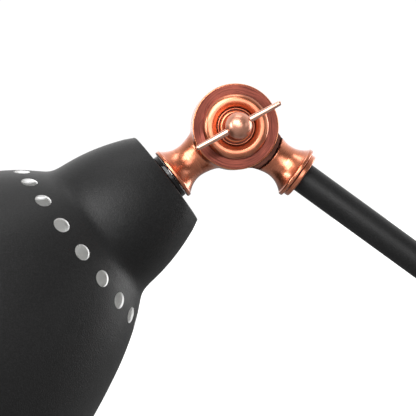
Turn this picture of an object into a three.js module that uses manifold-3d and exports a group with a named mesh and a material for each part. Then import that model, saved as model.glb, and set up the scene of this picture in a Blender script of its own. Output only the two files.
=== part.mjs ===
// An adjustable desk lamp: a weighted round base, two tubular arms, three turned knuckles that clamp with
// a thumb screw, and a bell-shaped spun shade with a ring of vent holes around a screw lampholder.
// Millimetres, +Z up. The origin is the centre of the underside of the foot pad. Every hinge runs along Y,
// the thumb screws are on the -Y side, and the shade hangs over -X.
import * as THREE from "three";
import { mergeVertices } from "three/addons/utils/BufferGeometryUtils.js";
import Module from "manifold-3d";

const wasm = await Module();
wasm.setup();

// ---- Driving dimensions --------------------------------------------------------------------------

// Fits
const SEAT_GAP = 0.3; // between two faces that meet
const FIT_GAP = 0.3; // radial, between a rod or tube and the hole that it goes through

// Layout: directions are degrees in the XZ plane, from +X towards +Z
const LOWER_ARM_LENGTH = 260; // hinge to hinge
const LOWER_ARM_DIRECTION = 65;
const UPPER_ARM_LENGTH = 260; // hinge to hinge
const UPPER_ARM_DIRECTION = 143.5;
const SHADE_DIRECTION = 216.6;

// Base
const BASE_RADIUS = 90;
const BASE_WALL = 1.5;
const BASE_SIDE_HEIGHT = 18; // where the side wall turns into the shoulder
const BASE_SHOULDER_RADIUS = 4;
const BASE_SLOPE_RISE = 3; // from the shoulder to the foot of the boss
const BASE_BOSS_RADIUS = 22;
const BASE_BOSS_RISE = 3;
const BASE_BOSS_FILLET = 6;
const PAD_THICKNESS = 2;
const PAD_INSET = 4;
const WEIGHT_THICKNESS = BASE_SIDE_HEIGHT - 6; // the leads lie above it
const WEIGHT_NUT_POCKET_RADIUS = 16;
const WEIGHT_NUT_POCKET_DEPTH = 6.5;
const WEIGHT_SLOT_RUN = 24; // how far the lead's slot goes on past the gland

// Nipples, their nuts and washers, tubes and leads
const TUBE_RADIUS = 6.2;
const TUBE_WALL = 1.2;
const NIPPLE_RADIUS = 5;
const NIPPLE_BORE = 3.4;
const LOCKNUT_FLAT_RADIUS = 7.5;
const LOCKNUT_HEIGHT = 3;
const WASHER_RADIUS = 11;
const WASHER_THICKNESS = 1;
const LEAD_RADIUS = 1.6;
const LEAD_FIT = 0.5; // radial, between a lead and its way through a neck
const LEAD_OFFSET = 3.3; // sideways, where a lead passes a disc's rim

// Knuckles
const DISC_RADIUS = 17.2;
const DISC_HALF_THICKNESS = 9.2; // from the hinge's middle plane to the outer face
const DISC_SPLIT = 1.4; // between the two halves
const DISC_CHAMFER = 0.6;
const DISC_FACE_WALL = 1.7;
const DISC_RIM_WALL = 2.7;
const DISC_BOSS_RADIUS = 5.2; // around the screw
const RELIEF_GAP = 2.4; // between a disc and the other half's neck
const FRICTION_RING_THICKNESS = 0.8;
const NECK_WALL = 0.8; // around the tube, at the waist
const NECK_WAIST_RADIUS = TUBE_RADIUS + FIT_GAP + NECK_WALL;
const NECK_WAIST_AT = DISC_RADIUS + 5.1; // distance from the hinge
const NECK_INNER_CURVE = 18; // radius of the hollow curve between disc and waist
const NECK_OUTER_CURVE = 10.8; // radius of the hollow curve between waist and flange
const NECK_FLANGE_RADIUS = NECK_WAIST_RADIUS + 3.6;
const NECK_FLANGE_RIM = 0.9;
const NECK_LENGTH = DISC_RADIUS + 14.3; // hinge to the end of the flange
const NECK_SOCKET_AT = DISC_RADIUS + 2.8; // hinge to the bottom of the socket
const COLLAR_RADIUS = NECK_WAIST_RADIUS + 2.3;
const COLLAR_THICKNESS = 2;

// Clamping screws
const SCREW_RADIUS = 3;
const SCREW_COLLAR_HEIGHT = 2.2;
const SCREW_NECK_RADIUS = 3.1;
const BALL_RADIUS = 5.2;
const BALL_STANDOFF = 15.5; // from the disc's outer face to the centre of the ball
const BAR_LENGTH = 38;
const BAR_RADIUS = 1.4;
const BAR_END_RADIUS = 1;
const BAR_DIRECTIONS = { base: 150, elbow: 65, head: 28.1 };
const NUT_FLAT_RADIUS = SCREW_RADIUS + 2.6; // half the width across flats
const NUT_HEIGHT = 5;
const NUT_DOME_RADIUS = NUT_FLAT_RADIUS - 1;
const SCREW_COLLAR_RADIUS = NUT_FLAT_RADIUS + 0.8;
const COVER_RADIUS = DISC_RADIUS - 4;
const COVER_RECESS_RADIUS = SCREW_COLLAR_RADIUS + 1.3;
const COVER_CROWN_SHARE = 0.47; // of the way out from the recess to the rim, where the raised ring is highest
const COVER_CROWN_RADIUS = COVER_RECESS_RADIUS + COVER_CROWN_SHARE * (COVER_RADIUS - COVER_RECESS_RADIUS);
const COVER_HEIGHT = 4;
const COVER_EDGE = 0.8;
const COVER_FLOOR = 1.2;

// Shade
const SHADE_AT = NECK_LENGTH + COLLAR_THICKNESS + 2 * SEAT_GAP;
const SHADE_WALL = 0.8;
const SHADE_TOP_RADIUS = 21;
const SHADE_TOP_CORNER = 0.9;
// Its outer face below the corner: [distance from its top, radius].
const SHADE_FACE = [
  [10.9, 25.1],
  [21, 27.8],
  [32, 29.4],
  [35.6, 30.4],
  [39.5, 33.4],
  [49.5, 41.3],
  [59, 47.1],
  [76, 55.7],
  [100, 65.8],
  [130, 74.6],
];
const SHADE_RIM_BEAD = 1.3;
const HOLE_COUNT = 18;
const HOLE_RADIUS = 3.25;
const HOLE_AT = 44.3; // along the shade from its top
const HOLE_FIRST_ANGLE = 3; // about the shade's axis, from the thumb screw side

// Lampholder and bulb
const HOLDER_RADIUS = 19;
const HOLDER_WALL = 2;
const HOLDER_TOP_RADIUS = 9;
const HOLDER_CAP_LENGTH = 22;
const HOLDER_BODY_LENGTH = 25;
const INSERT_RADIUS = 15.5;
const INSERT_THICKNESS = 8;
const CONTACT_RADIUS = 4;
const CONTACT_THICKNESS = 1.6;
const BULB_CAP_RADIUS = 13.1;
const BULB_CAP_LENGTH = 23;
const BULB_CAP_WALL = 1.5;
const SHELL_WALL = 0.8;
const SHELL_LENGTH = 20;
const BULB_RADIUS = 22.5;
const BULB_LENGTH = 78;
const BULB_WALL = 1;

// Switch and cord gland
const SWITCH_AT = 58; // from the centre of the base towards -X
const SWITCH_RADIUS = 7.5;
const SWITCH_DEPTH = 14; // below the cover's top face
const SWITCH_WALL = 1.2;
const SWITCH_BEZEL_RADIUS = 9.5;
const SWITCH_BEZEL_HEIGHT = 2.2;
const BUTTON_RADIUS = 5.6;
const BUTTON_HEIGHT = 6;
const BUTTON_TRAVEL = 2.5;
const SPRING_WIRE = 0.45;
const SPRING_RADIUS = 2.9;
const SPRING_TURNS = 3;
const GLAND_BORE = 3.6;
const GLAND_RADIUS = 5.2;
const GLAND_FLANGE_RADIUS = 6.6;
const GLAND_FLANGE_THICKNESS = 2.5;
const GLAND_LENGTH = 9;

// Facets
const BASE_SIDES = 32;
const SHADE_SIDES = 36;
const FINE_SIDES = 20;
const MEDIUM_SIDES = 16;
const COARSE_SIDES = 12;
const HOLE_SIDES = 8;
const LEAD_SIDES = 6;
const MERGE_DISTANCE = 1e-4;
const THROUGH = 1; // how far a cutting tool runs past the face that it cuts

// ---- Materials -----------------------------------------------------------------------------------

const metal = (color, roughness) => new THREE.MeshStandardMaterial({ color, roughness, metalness: 1 });
const coated = (color, roughness) => new THREE.MeshStandardMaterial({ color, roughness, metalness: 0 });

const COPPER = metal(0xb9694a, 0.32);
const DARK_COPPER = metal(0x6e3a2c, 0.35);
const BLACK_PAINT = coated(0x26262a, 0.55);
const STEEL = metal(0xa8a8ac, 0.4);
const BRASS = metal(0xc9a45a, 0.35);
const IRON = coated(0x3a3a3c, 0.8);
const FOAM = coated(0x1c1c1c, 0.95);
const PLASTIC = coated(0x1b1b1b, 0.5);
const CERAMIC = coated(0xf0eee6, 0.4);
const FIBRE = coated(0x1e1a18, 0.9);
const PVC = coated(0x141414, 0.5);
const OPAL = coated(0xf6f4ee, 0.15);

// ---- Geometry helpers ----------------------------------------------------------------------------

const radians = THREE.MathUtils.degToRad;

// Turned about +Y from [radius, height] corners, given in either direction. The outline closes on itself,
// or starts and ends on the axis.
function turned(outline, sides = MEDIUM_SIDES) {
  const onAxis = outline[0][0] === 0 && outline.at(-1)[0] === 0;
  const corners = onAxis ? [...outline] : [...outline, outline[0]];
  let area = 0;
  corners.forEach(([r, h], i) => {
    const [nextR, nextH] = corners[(i + 1) % corners.length];
    area += r * nextH - nextR * h;
  });
  if (area < 0) corners.reverse();
  return new THREE.LatheGeometry(corners.map(([r, h]) => new THREE.Vector2(r, h)), sides);
}

// A cylinder, or a ring if inner is given, about +Y from one height to the other.
function ring(outer, inner, from, to, sides = MEDIUM_SIDES) {
  return turned([[inner, from], [outer, from], [outer, to], [inner, to]], sides);
}

// A solid cylinder about +Y from one height to the other.
function rod(radius, from, to, sides = MEDIUM_SIDES) {
  return turned([[0, from], [radius, from], [radius, to], [0, to]], sides);
}

// A solid hexagonal prism about +Y, given half its width across flats.
function hexagon(flatRadius, from, to) {
  return rod(flatRadius / Math.cos(Math.PI / 6), from, to, 6);
}

// Outline points on an arc about [r, h], in degrees from +r towards +h.
function arc([r, h], radius, from, to, steps) {
  return Array.from({ length: steps + 1 }, (_, i) => {
    const angle = radians(from + ((to - from) * i) / steps);
    return [r + radius * Math.cos(angle), h + radius * Math.sin(angle)];
  });
}

// The same solid lying along +X instead of +Y.
function alongX(geometry) {
  return geometry.rotateZ(-Math.PI / 2);
}

// The same solid standing along +Z instead of +Y.
function alongZ(geometry) {
  return geometry.rotateX(Math.PI / 2);
}

function solidOf(geometry) {
  const bare = geometry.clone();
  bare.deleteAttribute("normal");
  bare.deleteAttribute("uv");
  const merged = mergeVertices(bare, MERGE_DISTANCE);
  return new wasm.Manifold(
    new wasm.Mesh({
      numProp: 3,
      vertProperties: merged.attributes.position.array,
      triVerts: new Uint32Array(merged.index.array),
    }),
  );
}

function geometryOf(solid) {
  const { vertProperties, triVerts } = solid.getMesh();
  const geometry = new THREE.BufferGeometry();
  geometry.setAttribute("position", new THREE.BufferAttribute(new Float32Array(vertProperties), 3));
  geometry.setIndex(new THREE.BufferAttribute(new Uint32Array(triVerts), 1));
  geometry.computeVertexNormals();
  return geometry;
}

function joined(...geometries) {
  return geometryOf(geometries.map(solidOf).reduce((a, b) => a.add(b)));
}

function cut(geometry, ...tools) {
  return geometryOf(tools.map(solidOf).reduce((a, b) => a.subtract(b), solidOf(geometry)));
}

// A smooth curve whose even steps are spread over its points, not over its length.
class LeadCurve extends THREE.CatmullRomCurve3 {
  getPointAt(u, target) {
    return this.getPoint(u, target);
  }

  getTangentAt(u, target) {
    return this.getTangent(u, target);
  }
}

// A round lead along a smooth curve through [x, y, z] points.
function lead(points, stepsPerSpan = 2, radius = LEAD_RADIUS) {
  const section = new THREE.Shape();
  for (let i = 0; i < LEAD_SIDES; i++) {
    const angle = (2 * Math.PI * i) / LEAD_SIDES;
    const [x, y] = [radius * Math.cos(angle), radius * Math.sin(angle)];
    if (i === 0) section.moveTo(x, y);
    else section.lineTo(x, y);
  }
  section.closePath();
  const path = new LeadCurve(points.map((p) => new THREE.Vector3(...p)), false, "centripetal");
  const steps = stepsPerSpan * (points.length - 1);
  return new THREE.ExtrudeGeometry(section, { steps, extrudePath: path, bevelEnabled: false });
}

function add(group, name, geometry, material) {
  const mesh = new THREE.Mesh(geometry, material);
  mesh.name = name;
  group.add(mesh);
  return mesh;
}

// A group at a point of the XZ plane, with its +X turned to a direction in that plane.
function turnedGroup(parent, [x, z], direction = 0) {
  const group = new THREE.Group();
  group.position.set(x, 0, z);
  group.rotation.y = -radians(direction);
  parent.add(group);
  return group;
}

const step = ([x, z], length, direction) => [
  x + length * Math.cos(radians(direction)),
  z + length * Math.sin(radians(direction)),
];

// ---- Places that several pieces share ------------------------------------------------------------

const coverTop = BASE_SIDE_HEIGHT + BASE_SHOULDER_RADIUS + BASE_SLOPE_RISE + BASE_BOSS_RISE;
const baseHinge = [0, coverTop + 2 * SEAT_GAP + COLLAR_THICKNESS + NECK_LENGTH];
const elbowHinge = step(baseHinge, LOWER_ARM_LENGTH, LOWER_ARM_DIRECTION);
const headHinge = step(elbowHinge, UPPER_ARM_LENGTH, UPPER_ARM_DIRECTION);
const weightBottom = PAD_THICKNESS + SEAT_GAP;
const weightTop = weightBottom + WEIGHT_THICKNESS;
const weightRadius = BASE_RADIUS - BASE_WALL - FIT_GAP;
const glandSlotLength = GLAND_LENGTH + WEIGHT_SLOT_RUN;
const glandSlotEnd = weightRadius - glandSlotLength; // from the centre of the base
const glandHeight = PAD_THICKNESS + SEAT_GAP + GLAND_FLANGE_RADIUS + 0.4;
const screwBore = SCREW_RADIUS + FIT_GAP;
const nippleBoreFit = NIPPLE_RADIUS + FIT_GAP;
const nippleEnd = NECK_SOCKET_AT + 5; // from the hinge, inside the socket

// The cover's outer face at a distance from the centre, on the slope between boss and shoulder.
function coverSlope(radius) {
  const from = BASE_RADIUS - BASE_SHOULDER_RADIUS;
  const to = BASE_BOSS_RADIUS + BASE_BOSS_FILLET;
  const share = (from - radius) / (from - to);
  return BASE_SIDE_HEIGHT + BASE_SHOULDER_RADIUS + BASE_SLOPE_RISE * share;
}

// ---- Knuckle pieces ------------------------------------------------------------------------------
// Each is made about a hinge along Y at its own origin. side is -1 for the front, 1 for the rear.

const neckRadiusAt = (distance) => {
  const curve = distance < NECK_WAIST_AT ? NECK_INNER_CURVE : NECK_OUTER_CURVE;
  const away = distance - NECK_WAIST_AT;
  return NECK_WAIST_RADIUS + curve - Math.sqrt(curve ** 2 - away ** 2);
};

// A disc with an annular pocket for the lead, and a waisted neck along +X that ends in a flange.
function knuckleHalf(side, bore) {
  const split = (side * DISC_SPLIT) / 2;
  const face = side * DISC_HALF_THICKNESS;
  const pocketEnd = face - side * DISC_FACE_WALL;
  const pocketRadius = DISC_RADIUS - DISC_RIM_WALL;
  const disc = turned(
    [
      [screwBore, split],
      [DISC_BOSS_RADIUS, split],
      [DISC_BOSS_RADIUS, pocketEnd],
      [pocketRadius, pocketEnd],
      [pocketRadius, split],
      [DISC_RADIUS, split],
      [DISC_RADIUS, face - side * DISC_CHAMFER],
      [DISC_RADIUS - DISC_CHAMFER, face],
      [screwBore, face],
    ],
    FINE_SIDES,
  );
  const neckStart = pocketRadius + 0.2;
  const flangeAt = NECK_LENGTH - NECK_FLANGE_RIM;
  const distances = [neckStart, DISC_RADIUS + 0.8, NECK_WAIST_AT, NECK_WAIST_AT + 3.7, NECK_WAIST_AT + 6.7];
  const neck = alongX(
    turned(
      [
        [0, neckStart],
        ...distances.map((d) => [neckRadiusAt(d), d]),
        [NECK_FLANGE_RADIUS, flangeAt],
        [NECK_FLANGE_RADIUS, NECK_LENGTH],
        [0, NECK_LENGTH],
      ],
      MEDIUM_SIDES,
    ),
  );
  const otherFace = -side * (DISC_HALF_THICKNESS + NECK_FLANGE_RADIUS);
  const relief = rod(DISC_RADIUS + RELIEF_GAP, split, otherFace, FINE_SIDES);
  const socket = alongX(rod(bore, NECK_SOCKET_AT, NECK_LENGTH + THROUGH));
  const leadBore = LEAD_RADIUS + LEAD_FIT;
  const leadWay = alongX(rod(leadBore, pocketRadius - 4, NECK_SOCKET_AT + THROUGH, HOLE_SIDES))
    .translate(0, side * LEAD_OFFSET, 0);
  return cut(joined(disc, cut(neck, relief)), socket, leadWay);
}

// The friction ring between the two halves, on their rims.
function frictionRing() {
  const half = FRICTION_RING_THICKNESS / 2;
  return ring(DISC_RADIUS - 0.2, DISC_RADIUS - DISC_RIM_WALL + 0.2, -half, half);
}

// A dished cover with a raised rounded ring, on a disc's outer face.
function cover(side) {
  const at = (height) => side * (DISC_HALF_THICKNESS + SEAT_GAP + height);
  const crown = COVER_HEIGHT - COVER_EDGE;
  const outerSpan = COVER_RADIUS - COVER_CROWN_RADIUS;
  const innerSpan = COVER_CROWN_RADIUS - COVER_RECESS_RADIUS;
  const rise = (angle) => COVER_EDGE + crown * Math.sin(radians(angle));
  const outer = [0, 45, 90].map((a) => [COVER_CROWN_RADIUS + outerSpan * Math.cos(radians(a)), rise(a)]);
  const outline = [
    [screwBore, 0],
    [COVER_RADIUS, 0],
    ...outer,
    [COVER_CROWN_RADIUS - innerSpan * Math.cos(radians(40)), rise(40)],
    [COVER_RECESS_RADIUS, COVER_FLOOR],
    [screwBore, COVER_FLOOR],
  ];
  return turned(outline.map(([r, h]) => [r, at(h)]), FINE_SIDES);
}

const coverFloorAt = DISC_HALF_THICKNESS + SEAT_GAP + COVER_FLOOR; // from the hinge's middle plane
const screwTipAt = coverFloorAt + SEAT_GAP + NUT_HEIGHT;
const ballCentre = DISC_HALF_THICKNESS + BALL_STANDOFF;

// The thumb screw: shank, collar, neck and ball, along Y through the whole knuckle.
function thumbScrew(barDirection) {
  const collarFrom = coverFloorAt + SEAT_GAP;
  const collarTo = collarFrom + SCREW_COLLAR_HEIGHT;
  const neckAngle = THREE.MathUtils.radToDeg(Math.asin(SCREW_NECK_RADIUS / BALL_RADIUS));
  const ball = arc([0, ballCentre], BALL_RADIUS, neckAngle - 90, 90, 6).slice(0, -1);
  const outline = [
    [0, -screwTipAt],
    [SCREW_RADIUS, -screwTipAt],
    [SCREW_RADIUS, collarFrom],
    [SCREW_COLLAR_RADIUS, collarFrom],
    [SCREW_COLLAR_RADIUS, collarTo - 0.6],
    [SCREW_COLLAR_RADIUS - 0.9, collarTo],
    [SCREW_NECK_RADIUS, collarTo + 1.4],
    ...ball,
    [0, ballCentre + BALL_RADIUS],
  ];
  const screw = turned(outline.map(([r, h]) => [r, -h]), COARSE_SIDES);
  const reach = BALL_RADIUS + THROUGH;
  const hole = alongX(rod(BAR_RADIUS + FIT_GAP, -reach, reach, HOLE_SIDES))
    .rotateY(-radians(barDirection))
    .translate(0, -ballCentre, 0);
  return cut(screw, hole);
}

// The tapered bar through the ball.
function thumbBar(barDirection) {
  const half = BAR_LENGTH / 2;
  const outline = [
    [0, -half],
    [BAR_END_RADIUS, -half + BAR_END_RADIUS],
    [BAR_RADIUS, -BALL_RADIUS],
    [BAR_RADIUS, BALL_RADIUS],
    [BAR_END_RADIUS, half - BAR_END_RADIUS],
    [0, half],
  ];
  return alongX(turned(outline, HOLE_SIDES)).rotateY(-radians(barDirection)).translate(0, -ballCentre, 0);
}

// The domed hexagon nut in the rear cover's recess.
function domeNut() {
  const from = coverFloorAt + SEAT_GAP;
  const to = from + NUT_HEIGHT;
  const dome = turned(
    [
      [0, from + 1],
      [NUT_DOME_RADIUS, from + 1],
      ...arc([0, to], NUT_DOME_RADIUS, 0, 90, 4).slice(0, -1),
      [0, to + NUT_DOME_RADIUS],
    ],
    COARSE_SIDES,
  );
  const thread = rod(screwBore, from - THROUGH, screwTipAt + 1, COARSE_SIDES);
  return cut(joined(hexagon(NUT_FLAT_RADIUS, from, to), dome), thread);
}

// The pieces of a knuckle that stay with the rear half, and the ones that go with the front half.
function rearHalf(group, name, bore) {
  add(group, `${name}_rear_half`, knuckleHalf(1, bore), COPPER);
  add(group, `${name}_rear_cover`, cover(1), COPPER);
  add(group, `${name}_friction_ring`, frictionRing(), FIBRE);
  add(group, `${name}_dome_nut`, domeNut(), COPPER);
}

function frontHalf(group, name, bore) {
  add(group, `${name}_front_half`, knuckleHalf(-1, bore), COPPER);
  add(group, `${name}_front_cover`, cover(-1), COPPER);
}

function clampScrew(parent, name, hinge, barDirection) {
  const group = turnedGroup(parent, hinge);
  add(group, `${name}_thumb_screw`, thumbScrew(barDirection), COPPER);
  add(group, `${name}_thumb_bar`, thumbBar(barDirection), COPPER);
}

// The collar against a neck's flange, along +X from the hinge.
function collar(group, name, bore) {
  const from = NECK_LENGTH + SEAT_GAP;
  add(group, name, alongX(ring(COLLAR_RADIUS, bore, from, from + COLLAR_THICKNESS)), DARK_COPPER);
}

// A lead's points from a disc's pocket out along a neck at the group's origin, as [x, y, z].
function leadThroughNeck(side) {
  const pocket = DISC_RADIUS - DISC_RIM_WALL;
  const turn = (DISC_BOSS_RADIUS + pocket) / 2;
  return [
    [0, side * LEAD_OFFSET, turn],
    [turn * 0.6, side * LEAD_OFFSET, turn * 0.8],
    [pocket - 3, side * LEAD_OFFSET, 0.5],
    [pocket + 1, side * LEAD_OFFSET, 0],
    [NECK_SOCKET_AT, side * LEAD_OFFSET, 0],
  ];
}

// ---- Base ----------------------------------------------------------------------------------------

function buildBase(parent) {
  const group = new THREE.Group();
  parent.add(group);
  addBaseShell(group);
  addStem(group);
  addGland(group);
  addSwitch(group);
  addBaseLeads(group);
  const knuckle = turnedGroup(group, baseHinge, 270);
  rearHalf(knuckle, "base_knuckle", nippleBoreFit);
  collar(knuckle, "base_collar", nippleBoreFit);
}

function addBaseShell(group) {
  const bottom = PAD_THICKNESS + SEAT_GAP;
  const shoulder = [BASE_RADIUS - BASE_SHOULDER_RADIUS, BASE_SIDE_HEIGHT];
  const bossFoot = BASE_BOSS_RADIUS + BASE_BOSS_FILLET;
  const slopeTop = coverSlope(bossFoot);
  const filletMiddle = BASE_BOSS_RADIUS + BASE_BOSS_FILLET * 0.35;
  const inner = BASE_RADIUS - BASE_WALL;
  const cover = turned(
    [
      [nippleBoreFit, coverTop],
      [BASE_BOSS_RADIUS - 1, coverTop],
      [filletMiddle, coverTop - BASE_BOSS_RISE * 0.7],
      [bossFoot, slopeTop],
      ...arc(shoulder, BASE_SHOULDER_RADIUS, 90, 0, 3),
      [BASE_RADIUS, bottom],
      [inner, bottom],
      [inner, BASE_SIDE_HEIGHT],
      [shoulder[0], BASE_SIDE_HEIGHT + BASE_SHOULDER_RADIUS - BASE_WALL],
      [bossFoot, slopeTop - BASE_WALL],
      [BASE_BOSS_RADIUS - 1, coverTop - BASE_WALL],
      [nippleBoreFit, coverTop - BASE_WALL],
    ],
    BASE_SIDES,
  );
  const glandHole = alongX(rod(GLAND_RADIUS + FIT_GAP, shoulder[0], BASE_RADIUS + THROUGH))
    .translate(0, 0, glandHeight);
  const switchHole = alongZ(rod(SWITCH_RADIUS + FIT_GAP, BASE_SIDE_HEIGHT, coverTop))
    .translate(-SWITCH_AT, 0, 0);
  add(group, "base_cover", cut(alongZ(cover), glandHole, switchHole), BLACK_PAINT);
  addWeight(group);
  add(group, "base_pad", alongZ(rod(BASE_RADIUS - PAD_INSET, 0, PAD_THICKNESS, BASE_SIDES)), FOAM);
}

// The iron disc inside the cover, pocketed for the stem's nut and the switch and slotted for the gland.
function addWeight(group) {
  const pocketTop = weightBottom + WEIGHT_NUT_POCKET_DEPTH;
  const weight = turned(
    [
      [nippleBoreFit, pocketTop],
      [WEIGHT_NUT_POCKET_RADIUS, pocketTop],
      [WEIGHT_NUT_POCKET_RADIUS, weightBottom],
      [weightRadius, weightBottom],
      [weightRadius, weightTop],
      [nippleBoreFit, weightTop],
    ],
    BASE_SIDES,
  );
  const slotWidth = 2 * GLAND_RADIUS + 4;
  const glandSlot = new THREE.BoxGeometry(2 * glandSlotLength, slotWidth, 2 * (weightTop + THROUGH))
    .translate(weightRadius, 0, 0);
  const switchPocket = alongZ(rod(SWITCH_RADIUS + 1.5, 0, weightTop + THROUGH)).translate(-SWITCH_AT, 0, 0);
  add(group, "base_weight", cut(alongZ(weight), glandSlot, switchPocket), IRON);
}

// The hollow threaded stem through cover and weight, with its washer and nut below the weight.
function addStem(group) {
  const pocketTop = weightBottom + WEIGHT_NUT_POCKET_DEPTH;
  const washerFrom = pocketTop - SEAT_GAP - WASHER_THICKNESS;
  const nutFrom = washerFrom - SEAT_GAP - LOCKNUT_HEIGHT;
  const stemTop = baseHinge[1] - nippleEnd;
  const stem = alongZ(ring(NIPPLE_RADIUS, NIPPLE_BORE, nutFrom - 0.5, stemTop, COARSE_SIDES));
  const windowSize = 2 * LEAD_RADIUS + 1.4;
  const windowDepth = NIPPLE_RADIUS + THROUGH;
  const window = new THREE.BoxGeometry(windowDepth, windowSize, 2 * windowSize)
    .translate(-windowDepth / 2, 0, leadLevel + windowSize / 2);
  add(group, "base_stem", cut(stem, window), STEEL);
  const washer = ring(WASHER_RADIUS, nippleBoreFit, washerFrom, washerFrom + WASHER_THICKNESS);
  add(group, "base_washer", alongZ(washer), STEEL);
  add(group, "base_nut", alongZ(locknut(nutFrom)), STEEL);
}

// The thin hexagon nut on a threaded nipple.
function locknut(from) {
  const to = from + LOCKNUT_HEIGHT;
  const thread = rod(nippleBoreFit, from - THROUGH, to + THROUGH, COARSE_SIDES);
  return cut(hexagon(LOCKNUT_FLAT_RADIUS, from, to), thread);
}

// The height at which leads lie on the weight.
const leadLevel = weightTop + LEAD_RADIUS + 0.4;

// The bush in the rear of the base that the mains lead enters by.
function addGland(group) {
  const outer = BASE_RADIUS + GLAND_FLANGE_THICKNESS;
  const seat = BASE_RADIUS + SEAT_GAP;
  const gland = turned(
    [
      [GLAND_BORE, outer - GLAND_LENGTH],
      [GLAND_RADIUS, outer - GLAND_LENGTH],
      [GLAND_RADIUS, seat],
      [GLAND_FLANGE_RADIUS, seat],
      [GLAND_FLANGE_RADIUS, outer - 0.8],
      [GLAND_FLANGE_RADIUS - 1, outer],
      [GLAND_BORE, outer],
    ],
    COARSE_SIDES,
  );
  add(group, "cord_gland", alongX(gland).translate(0, 0, glandHeight), PLASTIC);
}

// The push switch: a cup under the cover, a bezel above it, and a sprung button.
function addSwitch(group) {
  const switchGroup = new THREE.Group();
  switchGroup.position.set(-SWITCH_AT, 0, coverSlope(SWITCH_AT));
  group.add(switchGroup);
  const rim = 0.4; // the slope's rise across the bezel
  const bezelFrom = rim + SEAT_GAP;
  const bezelTop = bezelFrom + SWITCH_BEZEL_HEIGHT;
  const buttonBore = BUTTON_RADIUS + FIT_GAP;
  const cupFloor = SWITCH_WALL - SWITCH_DEPTH;
  const body = turned(
    [
      [0, -SWITCH_DEPTH],
      [SWITCH_RADIUS, -SWITCH_DEPTH],
      [SWITCH_RADIUS, bezelFrom - SEAT_GAP],
      [buttonBore, bezelFrom - SEAT_GAP],
      [buttonBore, cupFloor],
      [0, cupFloor],
    ],
    COARSE_SIDES,
  );
  const bezel = turned([
    [buttonBore, bezelFrom],
    [SWITCH_BEZEL_RADIUS, bezelFrom],
    [SWITCH_BEZEL_RADIUS, bezelTop - 1],
    [SWITCH_BEZEL_RADIUS - 1.2, bezelTop],
    [buttonBore, bezelTop],
  ]);
  const buttonTop = bezelTop + BUTTON_TRAVEL + 0.6;
  const buttonFoot = buttonTop - BUTTON_HEIGHT;
  const button = turned([
    [0, buttonFoot],
    [BUTTON_RADIUS, buttonFoot],
    [BUTTON_RADIUS, buttonTop - 1],
    [BUTTON_RADIUS - 1.2, buttonTop],
    [0, buttonTop + 0.3],
  ]);
  add(switchGroup, "switch_body", alongZ(body), PLASTIC);
  add(switchGroup, "switch_bezel", alongZ(bezel), COPPER);
  add(switchGroup, "switch_button", alongZ(button), COPPER);
  const springFrom = cupFloor + SEAT_GAP + SPRING_WIRE;
  const springTo = buttonFoot - SEAT_GAP - SPRING_WIRE;
  const count = SPRING_TURNS * LEAD_SIDES;
  const turns = Array.from({ length: count + 1 }, (_, i) => {
    const angle = (2 * Math.PI * SPRING_TURNS * i) / count;
    const height = springFrom + ((springTo - springFrom) * i) / count;
    return [SPRING_RADIUS * Math.cos(angle), SPRING_RADIUS * Math.sin(angle), height];
  });
  add(switchGroup, "switch_spring", lead(turns, 1, SPRING_WIRE), STEEL);
}

// The lead from the gland to the switch, and the one from the switch up the stem into the knuckle.
function addBaseLeads(group) {
  const past = NIPPLE_RADIUS + LEAD_RADIUS + 3;
  const switchSide = -SWITCH_AT + SWITCH_RADIUS + SEAT_GAP;
  add(group, "supply_lead", lead([
    [BASE_RADIUS - GLAND_LENGTH + GLAND_FLANGE_THICKNESS - SEAT_GAP, 0, glandHeight],
    [BASE_RADIUS - GLAND_LENGTH - 4, 0, glandHeight + 0.5],
    [glandSlotEnd + 4.8, 0, leadLevel + 1],
    [glandSlotEnd - 15.2, past / 2, leadLevel],
    [10, past, leadLevel],
    [-20, past, leadLevel],
    [-40, 4, leadLevel],
    [switchSide, 3, leadLevel],
  ]), PVC);
  const socketHeight = baseHinge[1] - NECK_SOCKET_AT;
  add(group, "stem_lead", lead([
    [switchSide, -3, leadLevel],
    [-40, -3, leadLevel],
    [-14, 0, leadLevel],
    [-5, 0, leadLevel + 0.2],
    [-0.8, 0, leadLevel + 4],
    [0, 0, leadLevel + 10],
    [0, 0, baseHinge[1] - nippleEnd - 3],
    [0, LEAD_OFFSET, socketHeight],
    ...leadThroughNeck(1).reverse().slice(1).map(([x, y, z]) => [z, y, baseHinge[1] - x]),
  ]), PVC);
}

// ---- Arms ----------------------------------------------------------------------------------------

// A tube between two knuckles, along +X from the first hinge. Its near end carries a front half and its
// far end a rear half.
function buildArm(parent, name, hinge, { direction, length, knuckles: [nearKnuckle, farKnuckle] }) {
  const near = turnedGroup(parent, hinge, direction);
  const socket = TUBE_RADIUS + FIT_GAP;
  frontHalf(near, nearKnuckle, socket);
  collar(near, `${name}_lower_collar`, socket);
  const end = NECK_SOCKET_AT + SEAT_GAP;
  const tube = ring(TUBE_RADIUS, TUBE_RADIUS - TUBE_WALL, end, length - end);
  add(near, `${name}_tube`, alongX(tube), BLACK_PAINT);
  add(near, `${name}_lead`, lead([
    ...leadThroughNeck(-1),
    [NECK_SOCKET_AT + 16, 0, 0],
    [length / 2, 0, 0],
    [length - NECK_SOCKET_AT - 16, 0, 0],
    ...leadThroughNeck(1).reverse().map(([x, y, z]) => [length - x, y, -z]),
  ]), PVC);
  const far = turnedGroup(near, [length, 0], 180);
  rearHalf(far, farKnuckle, socket);
  collar(far, `${name}_upper_collar`, socket);
}

// ---- Shade, lampholder and bulb ------------------------------------------------------------------

// The shade's outer face from its top corner to its rim, as [radius, distance from the hinge].
function shadeFace() {
  const topCorner = arc(
    [SHADE_TOP_RADIUS - SHADE_TOP_CORNER, SHADE_AT + SHADE_TOP_CORNER],
    SHADE_TOP_CORNER,
    -90,
    -20,
    2,
  );
  return [...topCorner, ...SHADE_FACE.map(([d, r]) => [r, SHADE_AT + d])];
}

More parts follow.
